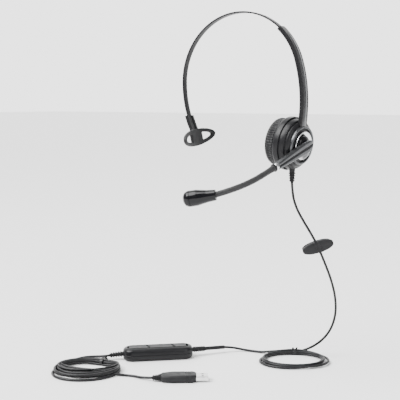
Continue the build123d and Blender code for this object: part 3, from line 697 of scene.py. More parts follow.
def make_bracket():
    """Channel that holds the end of the strip."""
    places = arc_places([(*LEFT_ARC, LEFT_END - 8.2, LEFT_END + 0.4)], 0.6)

    def channel(place):
        return rounded([(-6.6, 1.8, 0.8), (-6.6, -1.6, 0.45), (-2.7, -1.6, 0.4), (-2.7, -0.66, 0.1),
                        (-3.6, -0.66, 0.05), (-3.6, 0.66, 0.05), (3.6, 0.66, 0.05), (3.6, -0.66, 0.05),
                        (2.7, -0.66, 0.1), (2.7, -1.6, 0.4), (6.6, -1.6, 0.45), (6.6, 1.8, 0.8)], True, 3)

    new_piece("temple_channel", sweep_outline(places, channel), "band", "black_satin", ["temple_bracket"],
              35)


def softened_copy(name, source, voxel, passes, slot, body):
    """Copy of a CAD node's shape with its edges rounded over, as soft moulded rubber has them."""
    mesh = nodes[source].data.copy()
    mesh.materials.clear()
    piece = linked(name, mesh)
    weld = piece.modifiers.new("weld", "WELD")
    weld.merge_threshold = 0.00001
    remesh = piece.modifiers.new("remesh", "REMESH")
    remesh.mode = "VOXEL"
    remesh.voxel_size = voxel * MM
    smooth = piece.modifiers.new("smooth", "SMOOTH")
    smooth.factor = 0.5
    smooth.iterations = passes
    bpy.context.view_layer.update()
    evaluated = piece.evaluated_get(bpy.context.evaluated_depsgraph_get())
    result = bpy.data.meshes.new_from_object(evaluated)
    bpy.data.objects.remove(piece)
    finish_piece(name, result, body, slot, [source], 0)


# ---- pivot disc and ear cup ----


def sphere_arc(radius, centre, first, last, steps=10):
    """Profile points on a sphere between two heights."""
    points = []
    for step in range(steps + 1):
        height = first + (last - first) * step / steps
        points.append((math.sqrt(max(radius**2 - (height - centre) ** 2, 0)), height))
    return points


def make_disc():
    """Pivot cover, silver ring and chrome dish on the outside of the cup."""
    front = rounded([(14.0, -1.0, 0), (17.7, -1.0, 0.1), (17.7, -1.7, 0.1), (20.3, -1.7, 0.1),
                     (20.3, -1.1, 0.3), (22.5, -2.4, 1.2), (23.6, -4.2, 1.2), (23.6, -5.6, 0.4),
                     (25.4, -5.6, 0.5), (25.8, -7.0, 0)])
    skirt = sphere_arc(26.8, BALL_HEIGHT, -7.4, -14.7)
    back = sphere_arc(25.6, BALL_HEIGHT, -14.7, -8.0)
    profile = front[:-1] + skirt + back + [(14.0, -6.0)]
    new_piece("pivot_cover", lathed(profile, CUP, 144, closed=True), "root", "black_satin",
              ["pivot_housing"])

    ring = rounded([(17.6, -1.6, 0.1), (17.6, 0.5, 0.45), (18.3, 1.1, 0.6), (19.5, 1.1, 0.7),
                    (20.2, 0.4, 0.6), (20.2, -1.6, 0.1)], True, 5)
    new_piece("pivot_silver_ring", lathed(ring, CUP, 144, closed=True), "root", "silver_paint",
              ["trim_ring"])

    dish = rounded([(10.9, -1.0, 0.1), (10.9, 0.3, 0.1), (11.9, 0.75, 1.5), (13.7, 2.2, 0.5),
                    (14.2, 2.3, 0.3), (14.6, 1.9, 0.3), (14.6, -1.0, 0.1)], True, 5)
    new_piece("pivot_chrome_dish", lathed(dish, CUP, 144, closed=True), "root", "chrome", ["pivot_dish"])


def notched(point):
    """Point of the cup's rim, lowered where the cord boot passes it."""
    if point.y > 0:
        return point
    slope = min(1.0, max(0.0, (abs(point.x) - NOTCH_HALF_WIDTH) / 1.4))
    floor = NOTCH_FLOOR + (RIM_FRONT - NOTCH_FLOOR) * slope * slope * (3 - 2 * slope)
    if slope == 1.0 or point.z > RIM_FRONT + 1:
        return point
    return Vector((point.x, point.y, min(point.z, floor)))


def make_cup():
    """Rear shell of the cup, with a notch in its rim for the cord boot."""
    inner = sphere_arc(27.1, BALL_HEIGHT, -17.5, -11.6)
    outer = rounded([(27.2, -11.5, 0), (27.6, -11.25, 0.25), (28.1, -11.7, 0.5), (28.1, -16.6, 1.2),
                     (27.6, -18.0, 1.0), (26.5, -19.0, 1.0), (25.0, -19.6, 0.4), (23.6, -19.8, 0.2),
                     (23.6, -23.0, 0.1), (22.0, -23.0, 0.1), (22.0, -19.6, 0.1), (10.0, -19.6, 0)])
    profile = [(6.2, -18.4), (25.2, -18.4)] + inner + outer + [(4.6, -19.6), (4.6, -17.2), (4.6, -14.9),
                                                               (6.2, -14.9)]
    points, faces = lathed(profile, Matrix(), 288, closed=True)
    shape = ([CUP @ notched(point) for point in points], faces)
    new_piece("cup_rim_shell", shape, "cup", "black_satin", ["cup_shell"])


def cushion_profile():
    """Section of the ear cushion: skirt, side wall, crown and the lip round its opening."""
    return [(24.0, -20.6), (24.7, -20.5), (24.9, -21.4), (24.95, -22.8), (24.6, -24.4), (24.4, -25.2),
            (24.7, -26.2), (25.0, -27.4), (24.9, -28.7), (24.2, -29.9), (23.0, -30.7), (21.4, -31.1),
            (19.6, -31.2), (17.8, -31.0), (16.1, -30.5), (14.5, -29.7), (13.0, -28.7), (12.0, -27.6),
            (11.6, -26.6), (11.9, -25.8), (13.0, -25.5), (15.5, -25.5), (18.5, -25.5), (21.5, -25.5),
            (23.6, -25.4), (23.8, -24.2), (23.85, -22.6), (23.9, -21.2)]


PLEATS = 58


def make_cushion():
    """Leatherette doughnut: its side wall is gathered in pleats and its crown is smooth."""
    base = cushion_profile()
    dense = []
    for index in range(len(base)):
        here = Vector(base[index])
        after = Vector(base[(index + 1) % len(base)])
        before = Vector(base[index - 1])
        beyond = Vector(base[(index + 2) % len(base)])
        for step in range(3):
            t = step / 3
            point = 0.5 * ((2 * here) + (after - before) * t
                           + (2 * before - 5 * here + 4 * after - beyond) * t * t
                           + (3 * here - before - 3 * after + beyond) * t**3)
            dense.append((point.x, point.y))
    segments = PLEATS * 10
    points = []
    for segment in range(segments):
        turn = 2 * math.pi * segment / segments
        seed = Vector((math.cos(turn) * 2.2, math.sin(turn) * 2.2, 0))
        drift = noise.noise(seed) * 0.9
        size = 0.75 + 0.5 * noise.noise(seed * 3.1 + Vector((5, 0, 0)))
        phase = PLEATS * turn + drift * 3.0
        fold = 1 - abs(math.sin(phase / 2)) ** 0.7 * 2
        for radius, height in dense:
            wall = math.exp(-(((height + 24.3) / 3.4) ** 4)) if radius > 23 else 0.0
            crown = 0.0
            if radius < 24.6 and height < -27:
                crown = 0.18 * math.exp(-(((radius - 23.0) / 1.6) ** 2)) + 0.05
                crown += 0.22 * math.exp(-(((radius - 12.6) / 1.2) ** 2))
            wobble = noise.noise(Vector((math.cos(turn) * 5, math.sin(turn) * 5, height * 0.25))) * 0.10
            ripple = wobble * (0.5 if height < -26 else 0.2)
            shift = -0.62 * wall * size * (fold + 0.3) - crown * fold * 0.5 + ripple
            inward = Vector((radius - 18.3, height + 27.0))
            if radius > 23 and height > -26:
                inward = Vector((1, 0))
            inward.normalize()
            reach = radius + inward.x * shift
            rise = height + inward.y * shift
            points.append(CUP @ Vector((reach * math.cos(turn), reach * math.sin(turn), rise)))
    piece = new_piece("ear_cushion_cover", (points, turned_faces(segments, len(dense), True)), "cup",
                      "leatherette", ["ear_cushion"], 0)


def make_grille():
    """Cloth over the speaker, slightly domed, with a welded edge."""
    profile = [(0, -25.75), (4, -25.74), (8, -25.7), (12, -25.6), (15, -25.5), (17, -25.4), (18.9, -25.35),
               (18.9, -25.1), (16, -25.1), (0, -25.1)]
    new_piece("speaker_cloth", lathed(profile, CUP, 96), "cup", "grille_cloth", ["grille_cloth"], 60)


# ---- boom ----


def boom_rings(sections, low_share, high_share, lift, depth_scale, corner):
    """Rings of one bar of the boom arm, between two shares of its width."""
    rings = []
    for along, width, height, thickness in sections:
        low = width * low_share
        high = width * high_share
        half = thickness * depth_scale / 2
        outline = rounded([(low, -half, corner), (high, -half, corner), (high, half + lift, corner),
                           (low, half + lift, corner)], True, 5)
        rings.append([BOOM @ Vector((along, across, height + up)) for across, up in outline])
    return rings


def boom_sections():
    """Stations along the boom arm: place along it, width, height of its middle, thickness."""
    table = [(-7.4, 5.0, 3.2), (-7.0, 7.2, 3.6), (-6.2, 8.9, 3.9), (-4.8, 10.4, 4.1), (-2.5, 11.6, 4.4),
             (1.0, 12.4, 4.6), (6.0, 12.6, 4.8), (14.0, 11.8, 5.0), (24.0, 10.4, 5.3), (34.0, 8.9, 5.8),
             (42.0, 7.6, 6.2), (BOOM_LENGTH, 7.0, 6.4)]
    sections = []
    for along, width, thickness in table:
        height = BOOM_ROOT_HEIGHT - BOOM_FALL * max(along, 0) / BOOM_LENGTH
        sections.append((along, width, height, thickness))
    return sections


def make_boom():
    """Hub, the two bars of the boom arm, the collar and the black ring."""
    sections = boom_sections()
    core = boom_rings(sections, -0.44, 0.44, -0.25, 0.72, 0.6)
    new_piece("boom_core", lofted(core), "boom", "black_satin")
    ridge = boom_rings(sections, -0.5, -0.07, 0.25, 1.0, 1.5)
    new_piece("boom_upper_bar", lofted(soft_ends(ridge, 0.4)), "boom", "silver_paint", ["boom_ridge"])
    lower = boom_rings(sections, 0.05, 0.5, 0.0, 0.98, 1.6)
    new_piece("boom_lower_bar", lofted(soft_ends(lower, 0.4)), "boom", "silver_paint", ["boom_arm"])

    hub = rounded([(0, 4.9, 0), (3.5, 4.85, 2.0), (7.0, 4.35, 3.0), (9.4, 3.2, 1.6), (10.35, 2.0, 0.8),
                   (10.4, 0.2, 0.2), (0, 0.2, 0)], False, 5)
    new_piece("boom_hub_dome", lathed(hub, CUP, 128), "boom", "black_gloss", ["boom_hub"])

    end = BOOM @ placed((BOOM_LENGTH, 0, BOOM_ROOT_HEIGHT - BOOM_FALL), (0, 1, 0), (1, 0, -0.125))
    collar = rounded([(0, -0.2, 0), (3.3, -0.2, 0.2), (3.75, 0.4, 0.5), (3.75, 2.6, 0.4), (3.4, 3.15, 0.3),
                      (0, 3.15, 0)], False, 4)
    new_piece("boom_chrome_collar", lathed(collar, end, 64), "boom", "chrome", ["boom_collar"])
    ring = rounded([(0, 3.15, 0), (3.9, 3.15, 0.3), (4.2, 3.6, 0.5), (4.2, 4.8, 0.5), (3.7, 5.25, 0.4),
                    (0, 5.25, 0)], False, 4)
    new_piece("boom_black_ring", lathed(ring, end, 64), "boom", "black_satin", ["boom_ring"])


def make_gooseneck():
    """Ribbed sleeve that curves from the boom to the microphone."""
    line = spaced(nurbs_line(GOOSENECK_ROUTE), 421)
    places = tube_places(line)
    rings = []
    for index, place in enumerate(places):
        share = index / (len(places) - 1)
        wave = math.cos(2 * math.pi * RIB_COUNT * share)
        radius = GOOSENECK_RADIUS + 0.06 - 0.13 * max(0.0, wave) ** 3
        if share < 0.12:
            radius += 0.55 * (1 - share / 0.12) ** 2
        rings.append(ring_at(place, circle(radius, 36)))
    piece = new_piece("gooseneck_sleeve", lofted(rings), None, "gooseneck_grey",
                      ["gooseneck_base", "gooseneck_tip"], 60)
    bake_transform(piece)


def make_microphone():
    """Microphone shell and nose, with the port in the nose."""
    neck = Vector(GOOSENECK_ROUTE[-1])
    axis = (Vector(MIC_TIP) - neck).normalized()
    mic = placed(neck - axis * 2.0, (0, 0, 1), axis)
    shell = rounded([(2.6, 0.3, 0.2), (4.4, 0.0, 0.3), (5.25, 0.1, 0.4), (5.4, 1.6, 0.8), (5.6, 4.0, 3.0),
                     (6.1, 9.0, 6.0), (7.9, 19.0, 8.0), (8.0, 25.35, 0.2), (7.7, 25.5, 0.1),
                     (2.6, 25.5, 0)], True, 6)
    new_piece("microphone_shell", lathed(shell, mic, 96, closed=True), "mic", "black_gloss", ["mic_shell"])
    nose = rounded([(0, 25.6, 0), (7.7, 25.6, 0.1), (8.0, 25.75, 0.15), (7.9, 27.4, 2.0), (6.6, 30.4, 3.0),
                    (3.8, 32.2, 3.0), (0, 32.6, 0)], False, 6)
    port = placed(mic @ Vector((0, -2.6, 31.6)), mic.to_3x3() @ Vector((1, 0, 0)),
                  mic.to_3x3() @ Vector((0, -0.35, 1)))
    rim = rounded([(0.75, -0.6, 0.1), (1.35, -0.6, 0.1), (1.35, 0.55, 0.25), (0.9, 0.6, 0.1),
                   (0.75, 0.3, 0.1)], True, 3)
    new_piece("microphone_nose", joined(lathed(nose, mic, 96), lathed(rim, port, 32, closed=True)), "mic",
              "black_gloss", ["mic_nose"])


# ---- strain reliefs, clip, controller and plug ----


def boot_profile(length, base_radius, end_radius, rib_count, rib_start, flange=False):
    """Tapered strain relief with rounded ribs round its end."""
    profile = [(0, 0), (base_radius - 0.15, 0), (base_radius, 0.15)]
    if flange:
        profile = [(0, -0.3), (base_radius + 0.55, -0.3), (base_radius + 0.7, 0.2),
                   (base_radius + 0.6, 1.2)]
    pitch = (length - rib_start) / rib_count
    for rib in range(rib_count):
        low = rib_start + rib * pitch
        radius = base_radius + (end_radius - base_radius) * low / length
        profile += [(radius, low), (radius + 0.55, low + 0.1 * pitch), (radius + 0.7, low + 0.3 * pitch),
                    (radius + 0.55, low + 0.5 * pitch), (radius - 0.3, low + 0.62 * pitch),
                    (radius - 0.3, low + 0.9 * pitch)]
    profile += [(end_radius, length - 0.15), (end_radius - 0.15, length), (0, length)]
    return profile


def make_cord_boot():
    """Boot under the ear cup, with ribs round its lower end."""
    place = placed((60.1, 1.5, -25.5), (1, 0, 0), (0, 0, -1))
    new_piece("cup_cord_boot", lathed(boot_profile(16.5, 3.5, 2.1, 4, 6.6), place, 48), "root",
              "black_rubber", ["cord_boot"])


def boat_outline(length, width, inset=0.0):
    """Flat oval with blunt ends."""
    count = 96
    outline = []
    for step in range(count):
        angle = 2 * math.pi * step / count
        x = math.cos(angle)
        y = math.sin(angle)
        blunt = 3.2
        reach = (abs(x) ** blunt + abs(y) ** blunt) ** (-1 / blunt)
        outline.append(((length / 2 - inset) * x * reach,
                        (width / 2 - inset) * y * reach * (1 - 0.26 * (x * reach) ** 2)))
    return outline


def make_clip():
    """Grooved front plate with a domed face, and the sprung jaw behind it."""
    across = math.radians(CLIP_GROOVE_TURN)
    groove_x, groove_y = math.cos(across), math.sin(across)
    rings = []
    for height, inset in ((0.0, 0.5), (0.2, 0.12), (0.6, 0.0), (2.6, 0.0), (3.4, 0.22), (4.0, 0.8),
                          (4.3, 1.7), (4.4, 3.0)):
        rings.append([CLIP @ Vector((x, y, height)) for x, y in boat_outline(34, 12.8, inset)])
    front = lofted(rings)
    for side in (-1, 1):
        ridge = []
        for step in range(17):
            along = -7.4 + 14.8 * step / 16
            swell = math.sqrt(max(0.05, 1 - (along / 7.5) ** 2))
            x = along * groove_x - side * 1.95 * groove_y
            y = along * groove_y + side * 1.95 * groove_x
            if abs(y) > 6.0:
                continue
            place = CLIP @ placed((x, y, 4.1), (-groove_y, groove_x, 0), (groove_x, groove_y, 0))
            ridge.append(ring_at(place, rounded_box(1.2, 1.5 * swell + 0.3, 0.35)))
        front = joined(front, lofted(soft_ends(ridge, 0.25)))
    for side in (-1, 1):
        front = joined(front, block(CLIP, (4.4, 1.4, 2.9), (3.0, side * 4.2, -1.3), 0.3))
    new_piece("clip_front_plate", front, "root", "soft_black", ["clip_front"])

    rings = []
    for height, inset in ((-3.6, 0.5), (-3.85, 0.1), (-4.3, 0.0), (-5.0, 0.1), (-5.4, 0.6), (-5.5, 1.6)):
        rings.append([CLIP @ Vector((x, y, height)) for x, y in boat_outline(32.4, 11.2, inset)])
    jaw = lofted(rings)
    jaw = joined(jaw, block(CLIP, (1.8, 6.4, 3.4), (-14.1, 0, -2.1), 0.3))
    for tooth in range(4):
        jaw = joined(jaw, block(CLIP, (0.8, 6.0, 0.9), (-11.8 + tooth * 1.7, 0, -3.35), 0.2))
    for side in (-1, 1):
        jaw = joined(jaw, block(CLIP, (3.4, 1.4, 3.0), (3.0, side * 2.6, -2.15), 0.3))
    new_piece("clip_back_jaw", jaw, "clip_jaw", "soft_black", ["clip_jaw"])

    wire = []
    for step in range(97):
        turn = 2 * math.pi * 4 * step / 96
        wire.append(CLIP @ Vector((3.0 + 1.3 * math.cos(turn), -1.5 + 3.0 * step / 96, -1.6
                                   + 1.3 * math.sin(turn))))
    rings = [ring_at(place, circle(0.28, 10)) for place in tube_places(wire)]
    new_piece("clip_coil_spring", lofted(rings), "root", "spring_steel", ["clip_spring"])


def shell_rings(levels, place):
    """Rings of the controller's housing from (height, inset) levels."""
    rings = []
    for height, inset in levels:
        outline = rounded_box(CONTROLLER_LENGTH - 2 * inset, CONTROLLER_WIDTH - 2 * inset,
                              max(CONTROLLER_CORNER - inset, 0.6), 10)
        rings.append([place @ Vector((x, y, height)) for x, y in outline])
    return rings


def key_rings(low, high, half_width, slant, top, bottom, edge, first, last):
    """Rings of one key: a slanted cap with a rounded edge and a slightly sunk top."""
    left = low if first else low - slant
    left_far = low if first else low + slant
    right = high if last else high - slant
    right_far = high if last else high + slant
    end_corner = 1.9
    corners = [(left_far, -half_width, end_corner if first else 0.7),
               (right_far, -half_width, end_corner if last else 0.7),
               (right, half_width, end_corner if last else 0.7),
               (left, half_width, end_corner if first else 0.7)]
    middle = Vector(((low + high) / 2, 0))
    rings = []
    for height, inset in ((bottom, 0.0), (top - edge, 0.0), (top - 0.45 * edge, 0.16),
                          (top - 0.1 * edge, 0.5), (top, 1.0), (top - 0.12, 1.9)):
        ring = []
        for x, y in rounded(corners, True, 6):
            way = middle - Vector((x, y))
            ring.append(Vector((x + math.copysign(min(inset, abs(way.x)), way.x),
                                y + math.copysign(min(inset, abs(way.y)), way.y), height)))
        rings.append(ring)
    return rings


def make_controller():
    """Two-part housing, three keys flush in its top and a ribbed boot at each end."""
    bottom_levels = [(0.0, 4.4), (0.12, 3.0), (0.6, 1.6), (1.5, 0.7), (2.8, 0.15), (4.2, 0.0), (6.45, 0.0),
                     (6.7, 0.18)]
    new_piece("controller_lower_shell", lofted(shell_rings(bottom_levels, CONTROLLER)), "root",
              "black_satin", ["controller_bottom"], 30)
    top_levels = [(6.9, 0.18), (7.15, 0.0), (9.8, 0.0), (11.1, 0.25), (12.2, 0.9), (13.0, 1.9), (13.5, 3.0),
                  (13.75, 4.2), (13.85, 4.75), (13.2, 4.95), (11.6, 5.0)]
    new_piece("controller_upper_shell", lofted(shell_rings(top_levels, CONTROLLER)), "root", "black_satin",
                      ["controller_top"], 30)

    names = ("key_volume_down", "key_mute", "key_volume_up")
    for index, name in enumerate(names):
        low, high = KEY_SPANS[name]
        rings = key_rings(low, high, 6.1, 1.5, 14.35, 12.3, 0.9, index == 0, index == 2)
        key = lofted([[CONTROLLER @ point for point in ring] for ring in rings])
        new_piece(name + "_cap", key, name, "key_rubber", [name], 42)

    ends = (("controller_boot_headset", 36.3, 8.0, TAIL_ROUTE[-1], (18.0, 2.6, 2.3, 6, 4.0), 2.1),
            ("controller_boot_usb", -36.3, 7.0, USB_ROUTE[0], (0.0, 2.6, 2.1, 5, 4.0), 0.0))
    for name, start_x, height, target, shape, sleeve in ends:
        start = CONTROLLER @ Vector((start_x, 0, height))
        way = Vector(target) - start
        place = placed(start, (0, 0, 1), way)
        ribs_length = shape[0] or way.length
        profile = boot_profile(ribs_length, *shape[1:])
        if sleeve:
            profile = profile[:-2] + [(sleeve, ribs_length + 0.6), (sleeve, way.length - 0.4),
                                      (sleeve - 0.3, way.length), (0, way.length)]
        new_piece(name + "_relief", lathed(profile, place, 40), "root", "black_rubber", [name])


def make_plug():
    """Moulded grip, metal shell with painted shade patches in place of its two latch windows, tongue with
    contacts, and ribbed boot.
    """
    half, wide = PLUG_HALF_LENGTH, PLUG_HALF_WIDTH
    stations = [(-half, 4.6, 5.6), (-half + 0.5, 5.4, 6.2), (-half + 1.8, 6.4, 6.9), (-half + 6, 7.2, 7.5),
                (-half + 12, wide, 8.0), (2, wide, 8.0), (6.2, wide, 8.0)]
    for groove in (7.0, 9.4, 11.8):
        stations += [(groove - 0.6, wide, 8.0), (groove - 0.35, wide - 0.1, 7.3),
                     (groove + 0.35, wide - 0.1, 7.3), (groove + 0.6, wide, 8.0)]
    stations += [(14.4, wide - 0.1, 7.9), (16.6, wide - 0.9, 7.5), (17.8, wide - 1.9, 6.9),
                 (half, wide - 2.4, 6.5)]
    rings = []
    for x, reach, tall in stations:
        outline = rounded([(-reach, -tall / 2 + 1.3, 0.5), (-reach + 1.5, -tall / 2, 0.6),
                           (reach - 1.5, -tall / 2, 0.6), (reach, -tall / 2 + 1.3, 0.5),
                           (reach, tall / 2 - 1.3, 0.5), (reach - 1.5, tall / 2, 0.6),
                           (-reach + 1.5, tall / 2, 0.6), (-reach, tall / 2 - 1.3, 0.5)], True, 3)
        rings.append([PLUG @ Vector((x, y, PLUG_AXIS_HEIGHT + z)) for y, z in outline])
    new_piece("plug_grip", lofted(rings), "root", "soft_black", ["plug_body"], 32)

    tube = rounded_box(12.0, 4.5, 0.6, 4)
    hollow = rounded_box(11.4, 3.9, 0.4, 4)
    rings = [[PLUG @ Vector((x, y, PLUG_AXIS_HEIGHT + z)) for y, z in outline] for x,
             outline in ((17.5, tube), (29.9, tube), (30.25, rounded_box(11.8, 4.3, 0.5, 4)),
                         (30.3, hollow), (18.0, hollow))]
    shell = lofted(rings)
    new_piece("plug_metal_shell", shell, "root", "plug_metal", ["plug_shell"], 35)
    # Thin black sheets on the shell's top and bottom faces: painted shade standing in for the dark inside
    # of the latch holes.
    windows = []
    for side in (-1, 1):
        for face_height in (6.27, 1.73):
            windows.append(block(PLUG, (2.4, 2.2, 0.06), (24.7, side * 2.9, face_height), 0.02))
    dark = joined(*windows)
    new_piece("plug_latch_window_shade", dark, "root", "black_satin")
    tongue = block(PLUG, (11.2, 11.0, 1.9), (23.9, 0, 3.08), 0.15)
    new_piece("plug_contact_tongue", tongue, "root", "plug_tongue", ["plug_tongue"])
    contacts = [block(PLUG, (8.6, 1.1, 0.12), (24.6, offset, 4.06), 0.03)
                for offset in (-3.5, -1.0, 1.0, 3.5)]
    strip = joined(*contacts)
    new_piece("plug_contacts", strip, "root", "plug_metal")

    start = PLUG @ Vector((-half, 0, PLUG_AXIS_HEIGHT))
    way = Vector(USB_TAIL_ROUTE[-1]) - start
    new_piece("plug_ribbed_boot",
              lathed(boot_profile(way.length, 3.1, 2.1, 4, 1.6, flange=True), placed(start, (0, 0, 1), way),
                     40), "root", "black_rubber", ["plug_boot"])


def make_tie(name, node, centre, semi, degrees, half_depth, height):
    """Flat twist tie: two turns round the bundle, and its ends twisted together beside it."""
    angle = math.radians(degrees)
    turn = math.radians(COIL_TURN)
    here = Vector(coil_point(centre, semi[0] * math.cos(angle), semi[1] * math.sin(angle), FLOOR))
    normal = math.atan2(math.sin(angle) / semi[1], math.cos(angle) / semi[0]) + turn
    out = Vector((math.cos(normal), math.sin(normal), 0))
    along = Vector((-out.y, out.x, 0))
    path = []
    for step in range(121):
        share = step / 120
        around = 2 * math.pi * 2.1 * share - math.pi / 2
        side = abs(math.cos(around)) ** 0.8 * math.copysign(1, math.cos(around))
        rise = abs(math.sin(around)) ** 0.8 * math.copysign(1, math.sin(around))
        path.append(here + out * (half_depth + 0.35) * side
                    + Vector((0, 0, 1)) * (0.45 + (height + 0.6) * (0.5 + 0.5 * rise))
                    + along * (-1.5 + 3.0 * share))
    bands = []
    for place in tube_places(path):
        axis = place.to_3x3() @ Vector((0, 0, 1))
        flat = placed(place.translation, along, axis)
        bands.append(ring_at(flat, rounded_box(2.1, 0.55, 0.22, 3)))
    shape = lofted(bands)
    for side in (-1, 1):
        start = here + out * (half_depth * 0.3) + along * side * 1.0 + Vector((0, 0, height + 0.9))
        ends = [start + along * side * (0.4 + 1.4 * share) + out * 1.0 * share
                + Vector((0, 0, 1.3 * math.sin(math.radians(150) * share)))
                for share in [step / 12 for step in range(13)]]
        rings = [ring_at(place, rounded_box(1.9, 0.6, 0.25, 3)) for place in tube_places(ends)]
        shape = joined(shape, lofted(rings))
    new_piece(name, shape, "root", "tie_wire", [node])


# ---- cords ----


def cord_curve(name, points, stands_for):
    """Cord as one smooth spline through its route."""
    curve = spline_curve(name, [(x * MM, y * MM, z * MM) for x, y, z in points], 7)
    curve.bevel_depth = CORD_DIAMETER / 2 * MM
    curve.bevel_resolution = 5
    curve.use_fill_caps = True
    curve.materials.append(materials["cord_jacket"])
    piece = linked(name, curve)
    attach(piece, "root")
    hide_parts(*stands_for)
    return piece


def coil_point(centre, r, q, height):
    """Point of a coil. Its long axis lies along COIL_TURN."""
    turn = math.radians(COIL_TURN)
    return (centre[0] + r * math.cos(turn) - q * math.sin(turn),
            centre[1] + r * math.sin(turn) + q * math.cos(turn), height)


def blended(table, turn):
    """Value of a table of per-turn numbers part-way through a turn."""
    low = min(int(turn), len(table) - 1)
    high = min(low + 1, len(table) - 1)
    share = turn - int(turn)
    share = share * share * (3 - 2 * share)
    return table[low] * (1 - share) + table[high] * share


def loop_points(centre, loops, first, last, count, tie_angle, tie_size, tie_reach, back):
    """Turns of a coil, blending from each loop to the next and drawn together at the tie.

    A loop is (semi_r, semi_q, shift_r, tilt, lift, tie_shift, tie_lift), and all share the back edge."""
    points = []
    for index in range(count + 1):
        degrees = first + (last - first) * index / count
        turn = (degrees - first) / 360
        semi_r, semi_q, shift_r, tilt, lift, tie_shift, tie_lift = [blended([loop[key] for loop in loops],
                                                                            turn) for key in range(7)]
        away = abs((degrees - tie_angle + 180) % 360 - 180)
        tied = math.exp(-((away / tie_reach) ** 2))
        angle = math.radians(degrees)
        lean = math.radians(tilt)
        r = semi_r * math.cos(angle)
        q = semi_q * math.sin(angle)
        loose_r = r * math.cos(lean) - q * math.sin(lean) + shift_r
        loose_q = r * math.sin(lean) + q * math.cos(lean) + back - semi_q
        tied_r = (tie_size[0] + tie_shift) * math.cos(angle)
        tied_q = (tie_size[1] + tie_shift) * math.sin(angle)
        r = loose_r * (1 - tied) + tied_r * tied
        q = loose_q * (1 - tied) + tied_q * tied
        height = COIL_BED + lift * (1 - tied) + tie_lift * tied
        points.append(coil_point(centre, r, q, height))
    return points


HEADSET_LOOPS = [
    (37.0, 27.6, -1.8, 3.0, 0.0, 1.4, 0.0),
    (31.4, 22.0, 0.8, -5.0, 1.2, -1.4, 0.0),
    (37.4, 26.6, 2.2, -3.0, 1.6, 1.4, 2.5),
    (31.8, 22.6, -1.6, 4.0, 2.9, -1.4, 2.5),
    (35.0, 26.0, -1.0, 0.0, 3.2, 0.0, 4.4),
]
USB_LOOPS = [
    (36.0, 29.0, -0.6, 2.0, 0.0, 4.2, 0.0),
    (33.0, 22.4, 0.8, -4.0, 0.4, 1.4, 0.0),
    (34.8, 26.4, 0.4, 3.0, 2.2, -1.4, 0.0),
    (31.4, 17.6, -0.6, -3.0, 1.6, -4.2, 0.0),
    (33.6, 24.6, 1.6, -6.0, 3.8, 2.8, 2.5),
    (30.4, 14.4, 0.0, 4.0, 3.2, 0.0, 2.5),
    (35.0, 28.2, 0.6, 0.0, 4.4, -2.8, 2.5),
    (33.0, 20.4, 0.6, -3.0, 4.8, 0.0, 4.6),
    (31.0, 11.4, 0.0, 2.0, 4.2, -1.4, 4.6),
    (34.0, 28.0, 0.0, 0.0, 0.6, 1.4, 4.6),
]


# Centre, loops, first and last angle, count of steps, tie's angle, size and reach, and the back edge.
HEADSET_COIL = (HEADSET_COIL_CENTRE, HEADSET_LOOPS, 92.0, 92.0 + 4 * 360 + 22, 70, HEADSET_TIE_ANGLE,
                (34.2, 25.6), 34.0, 25.2)
USB_COIL = (USB_COIL_CENTRE, USB_LOOPS, 157.0, 157.0 + 8 * 360 + 130, 160, USB_TIE_ANGLE, (31.6, 26.0),
            34.0, 26.0)
LEAD_IN = [(47.5, 45.8, -239.8)]
LEAD_OUT = [(21.5, 29.0, -239.2), (12.0, 27.4, -241.2)]


def make_cords():
    """Both cords: the headset cord has four turns, and the plug cord eight and a third."""
    headset_line = HEADSET_ROUTE + LEAD_IN + loop_points(*HEADSET_COIL) + LEAD_OUT + TAIL_ROUTE
    usb_line = USB_ROUTE + loop_points(*USB_COIL) + USB_TAIL_ROUTE
    headset = cord_curve("headset_cord_line", headset_line,
                         ["headset_cord", "headset_coil", "headset_cord_tail"])
    usb = cord_curve("usb_cord_line", usb_line, ["usb_cord", "usb_coil", "usb_cord_tail"])
    return headset, usb


# ---- camera, light and floor ----


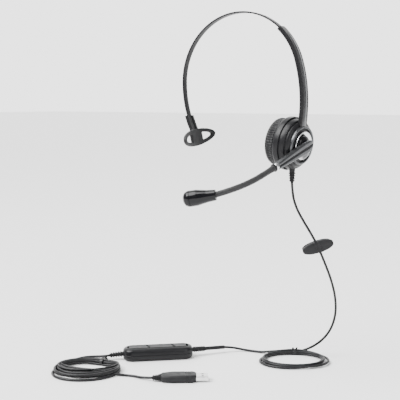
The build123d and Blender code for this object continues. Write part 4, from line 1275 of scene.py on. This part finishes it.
def make_stage():
    """Floor, and a backdrop that is brightest behind the headset."""
    floor_mesh = bpy.data.meshes.new("floor")
    corners = ((-1, -1), (1, -1), (1, 1), (-1, 1))
    floor_mesh.from_pydata([(x * FLOOR_HALF_M, y * FLOOR_HALF_M, FLOOR * MM) for x, y in corners], [],
                           [(0, 1, 2, 3)])
    floor = linked("floor", floor_mesh)
    pale = material("floor_pale", (0.9, 0.9, 0.9), 0.8, specular=0.2)
    floor_mesh.materials.append(pale)

    world = bpy.data.worlds.new("studio")
    bpy.context.scene.world = world
    world.use_nodes = True
    background = world.node_tree.nodes["Background"]
    background.inputs["Color"].default_value = (1, 1, 1, 1)
    coordinate = node(world, "ShaderNodeTexCoord")
    facing = node(world, "ShaderNodeVectorMath", operation="DOT_PRODUCT")
    facing.inputs[1].default_value = BACKDROP_DIRECTION
    link(world, coordinate.outputs["Generated"], facing.inputs[0])
    spread_value(world, facing.outputs["Value"], (0.2, 0.9), BACKDROP_STRENGTHS,
                 background.inputs["Strength"])


def add_area(name, place, target, size, power):
    light = bpy.data.lights.new(name, "AREA")
    light.shape = "RECTANGLE"
    light.size, light.size_y = size
    light.energy = power
    lamp = linked(name, light)
    lamp.location = place
    lamp.rotation_euler = (Vector(target) - Vector(place)).to_track_quat("-Z", "Y").to_euler()


def add_sun(name, direction, strength, spread):
    light = bpy.data.lights.new(name, "SUN")
    light.energy = strength
    light.angle = math.radians(spread)
    lamp = linked(name, light)
    lamp.rotation_euler = Vector(direction).to_track_quat("-Z", "Y").to_euler()


def make_camera():
    """Camera in front of the headset, aimed slightly down."""
    camera = bpy.data.cameras.new("camera")
    camera.lens = CAMERA_LENS
    camera.sensor_width = 36.0
    holder = linked("camera", camera)
    holder.location = CAMERA_PLACE_M
    holder.rotation_euler = Vector(CAMERA_WAY).to_track_quat("-Z", "Y").to_euler()
    camera.clip_start = 0.01
    camera.clip_end = 50.0
    bpy.context.scene.camera = holder


make_stage()
make_camera()
add_area("key_light", (-0.9, -1.3, 1.3), (0, 0, -0.05), (0.9, 0.9), 34)
add_area("fill_light", (1.4, -0.6, 0.7), (0, 0, -0.05), (0.5, 1.0), 14)
add_sun("sky_light", (0.35, 0.5, -1.0), 6.0, 50)

make_band()
make_arm()
make_bracket()
softened_copy("temple_loop", "temple_pad", 0.45, 14, "soft_black", "band")
make_disc()
make_cup()
make_cushion()
make_grille()
make_boom()
make_gooseneck()
make_microphone()
make_cord_boot()
make_clip()
make_controller()
make_plug()
make_tie("headset_coil_twist", "headset_coil_tie", HEADSET_COIL_CENTRE, (34.2, 26.4), HEADSET_TIE_ANGLE,
         3.4, 4.9)
make_tie("usb_coil_twist", "usb_coil_tie", USB_COIL_CENTRE, (31.6, 26.8), USB_TIE_ANGLE, 5.4, 6.4)
headset_cord, usb_cord = make_cords()

record_slots = {part["node"]: part["material_slot"] for part in frame["record"]["subparts"]}
for name, cad in nodes.items():
    cad.data.materials.clear()
    cad.data.materials.append(materials[record_slots[name]])
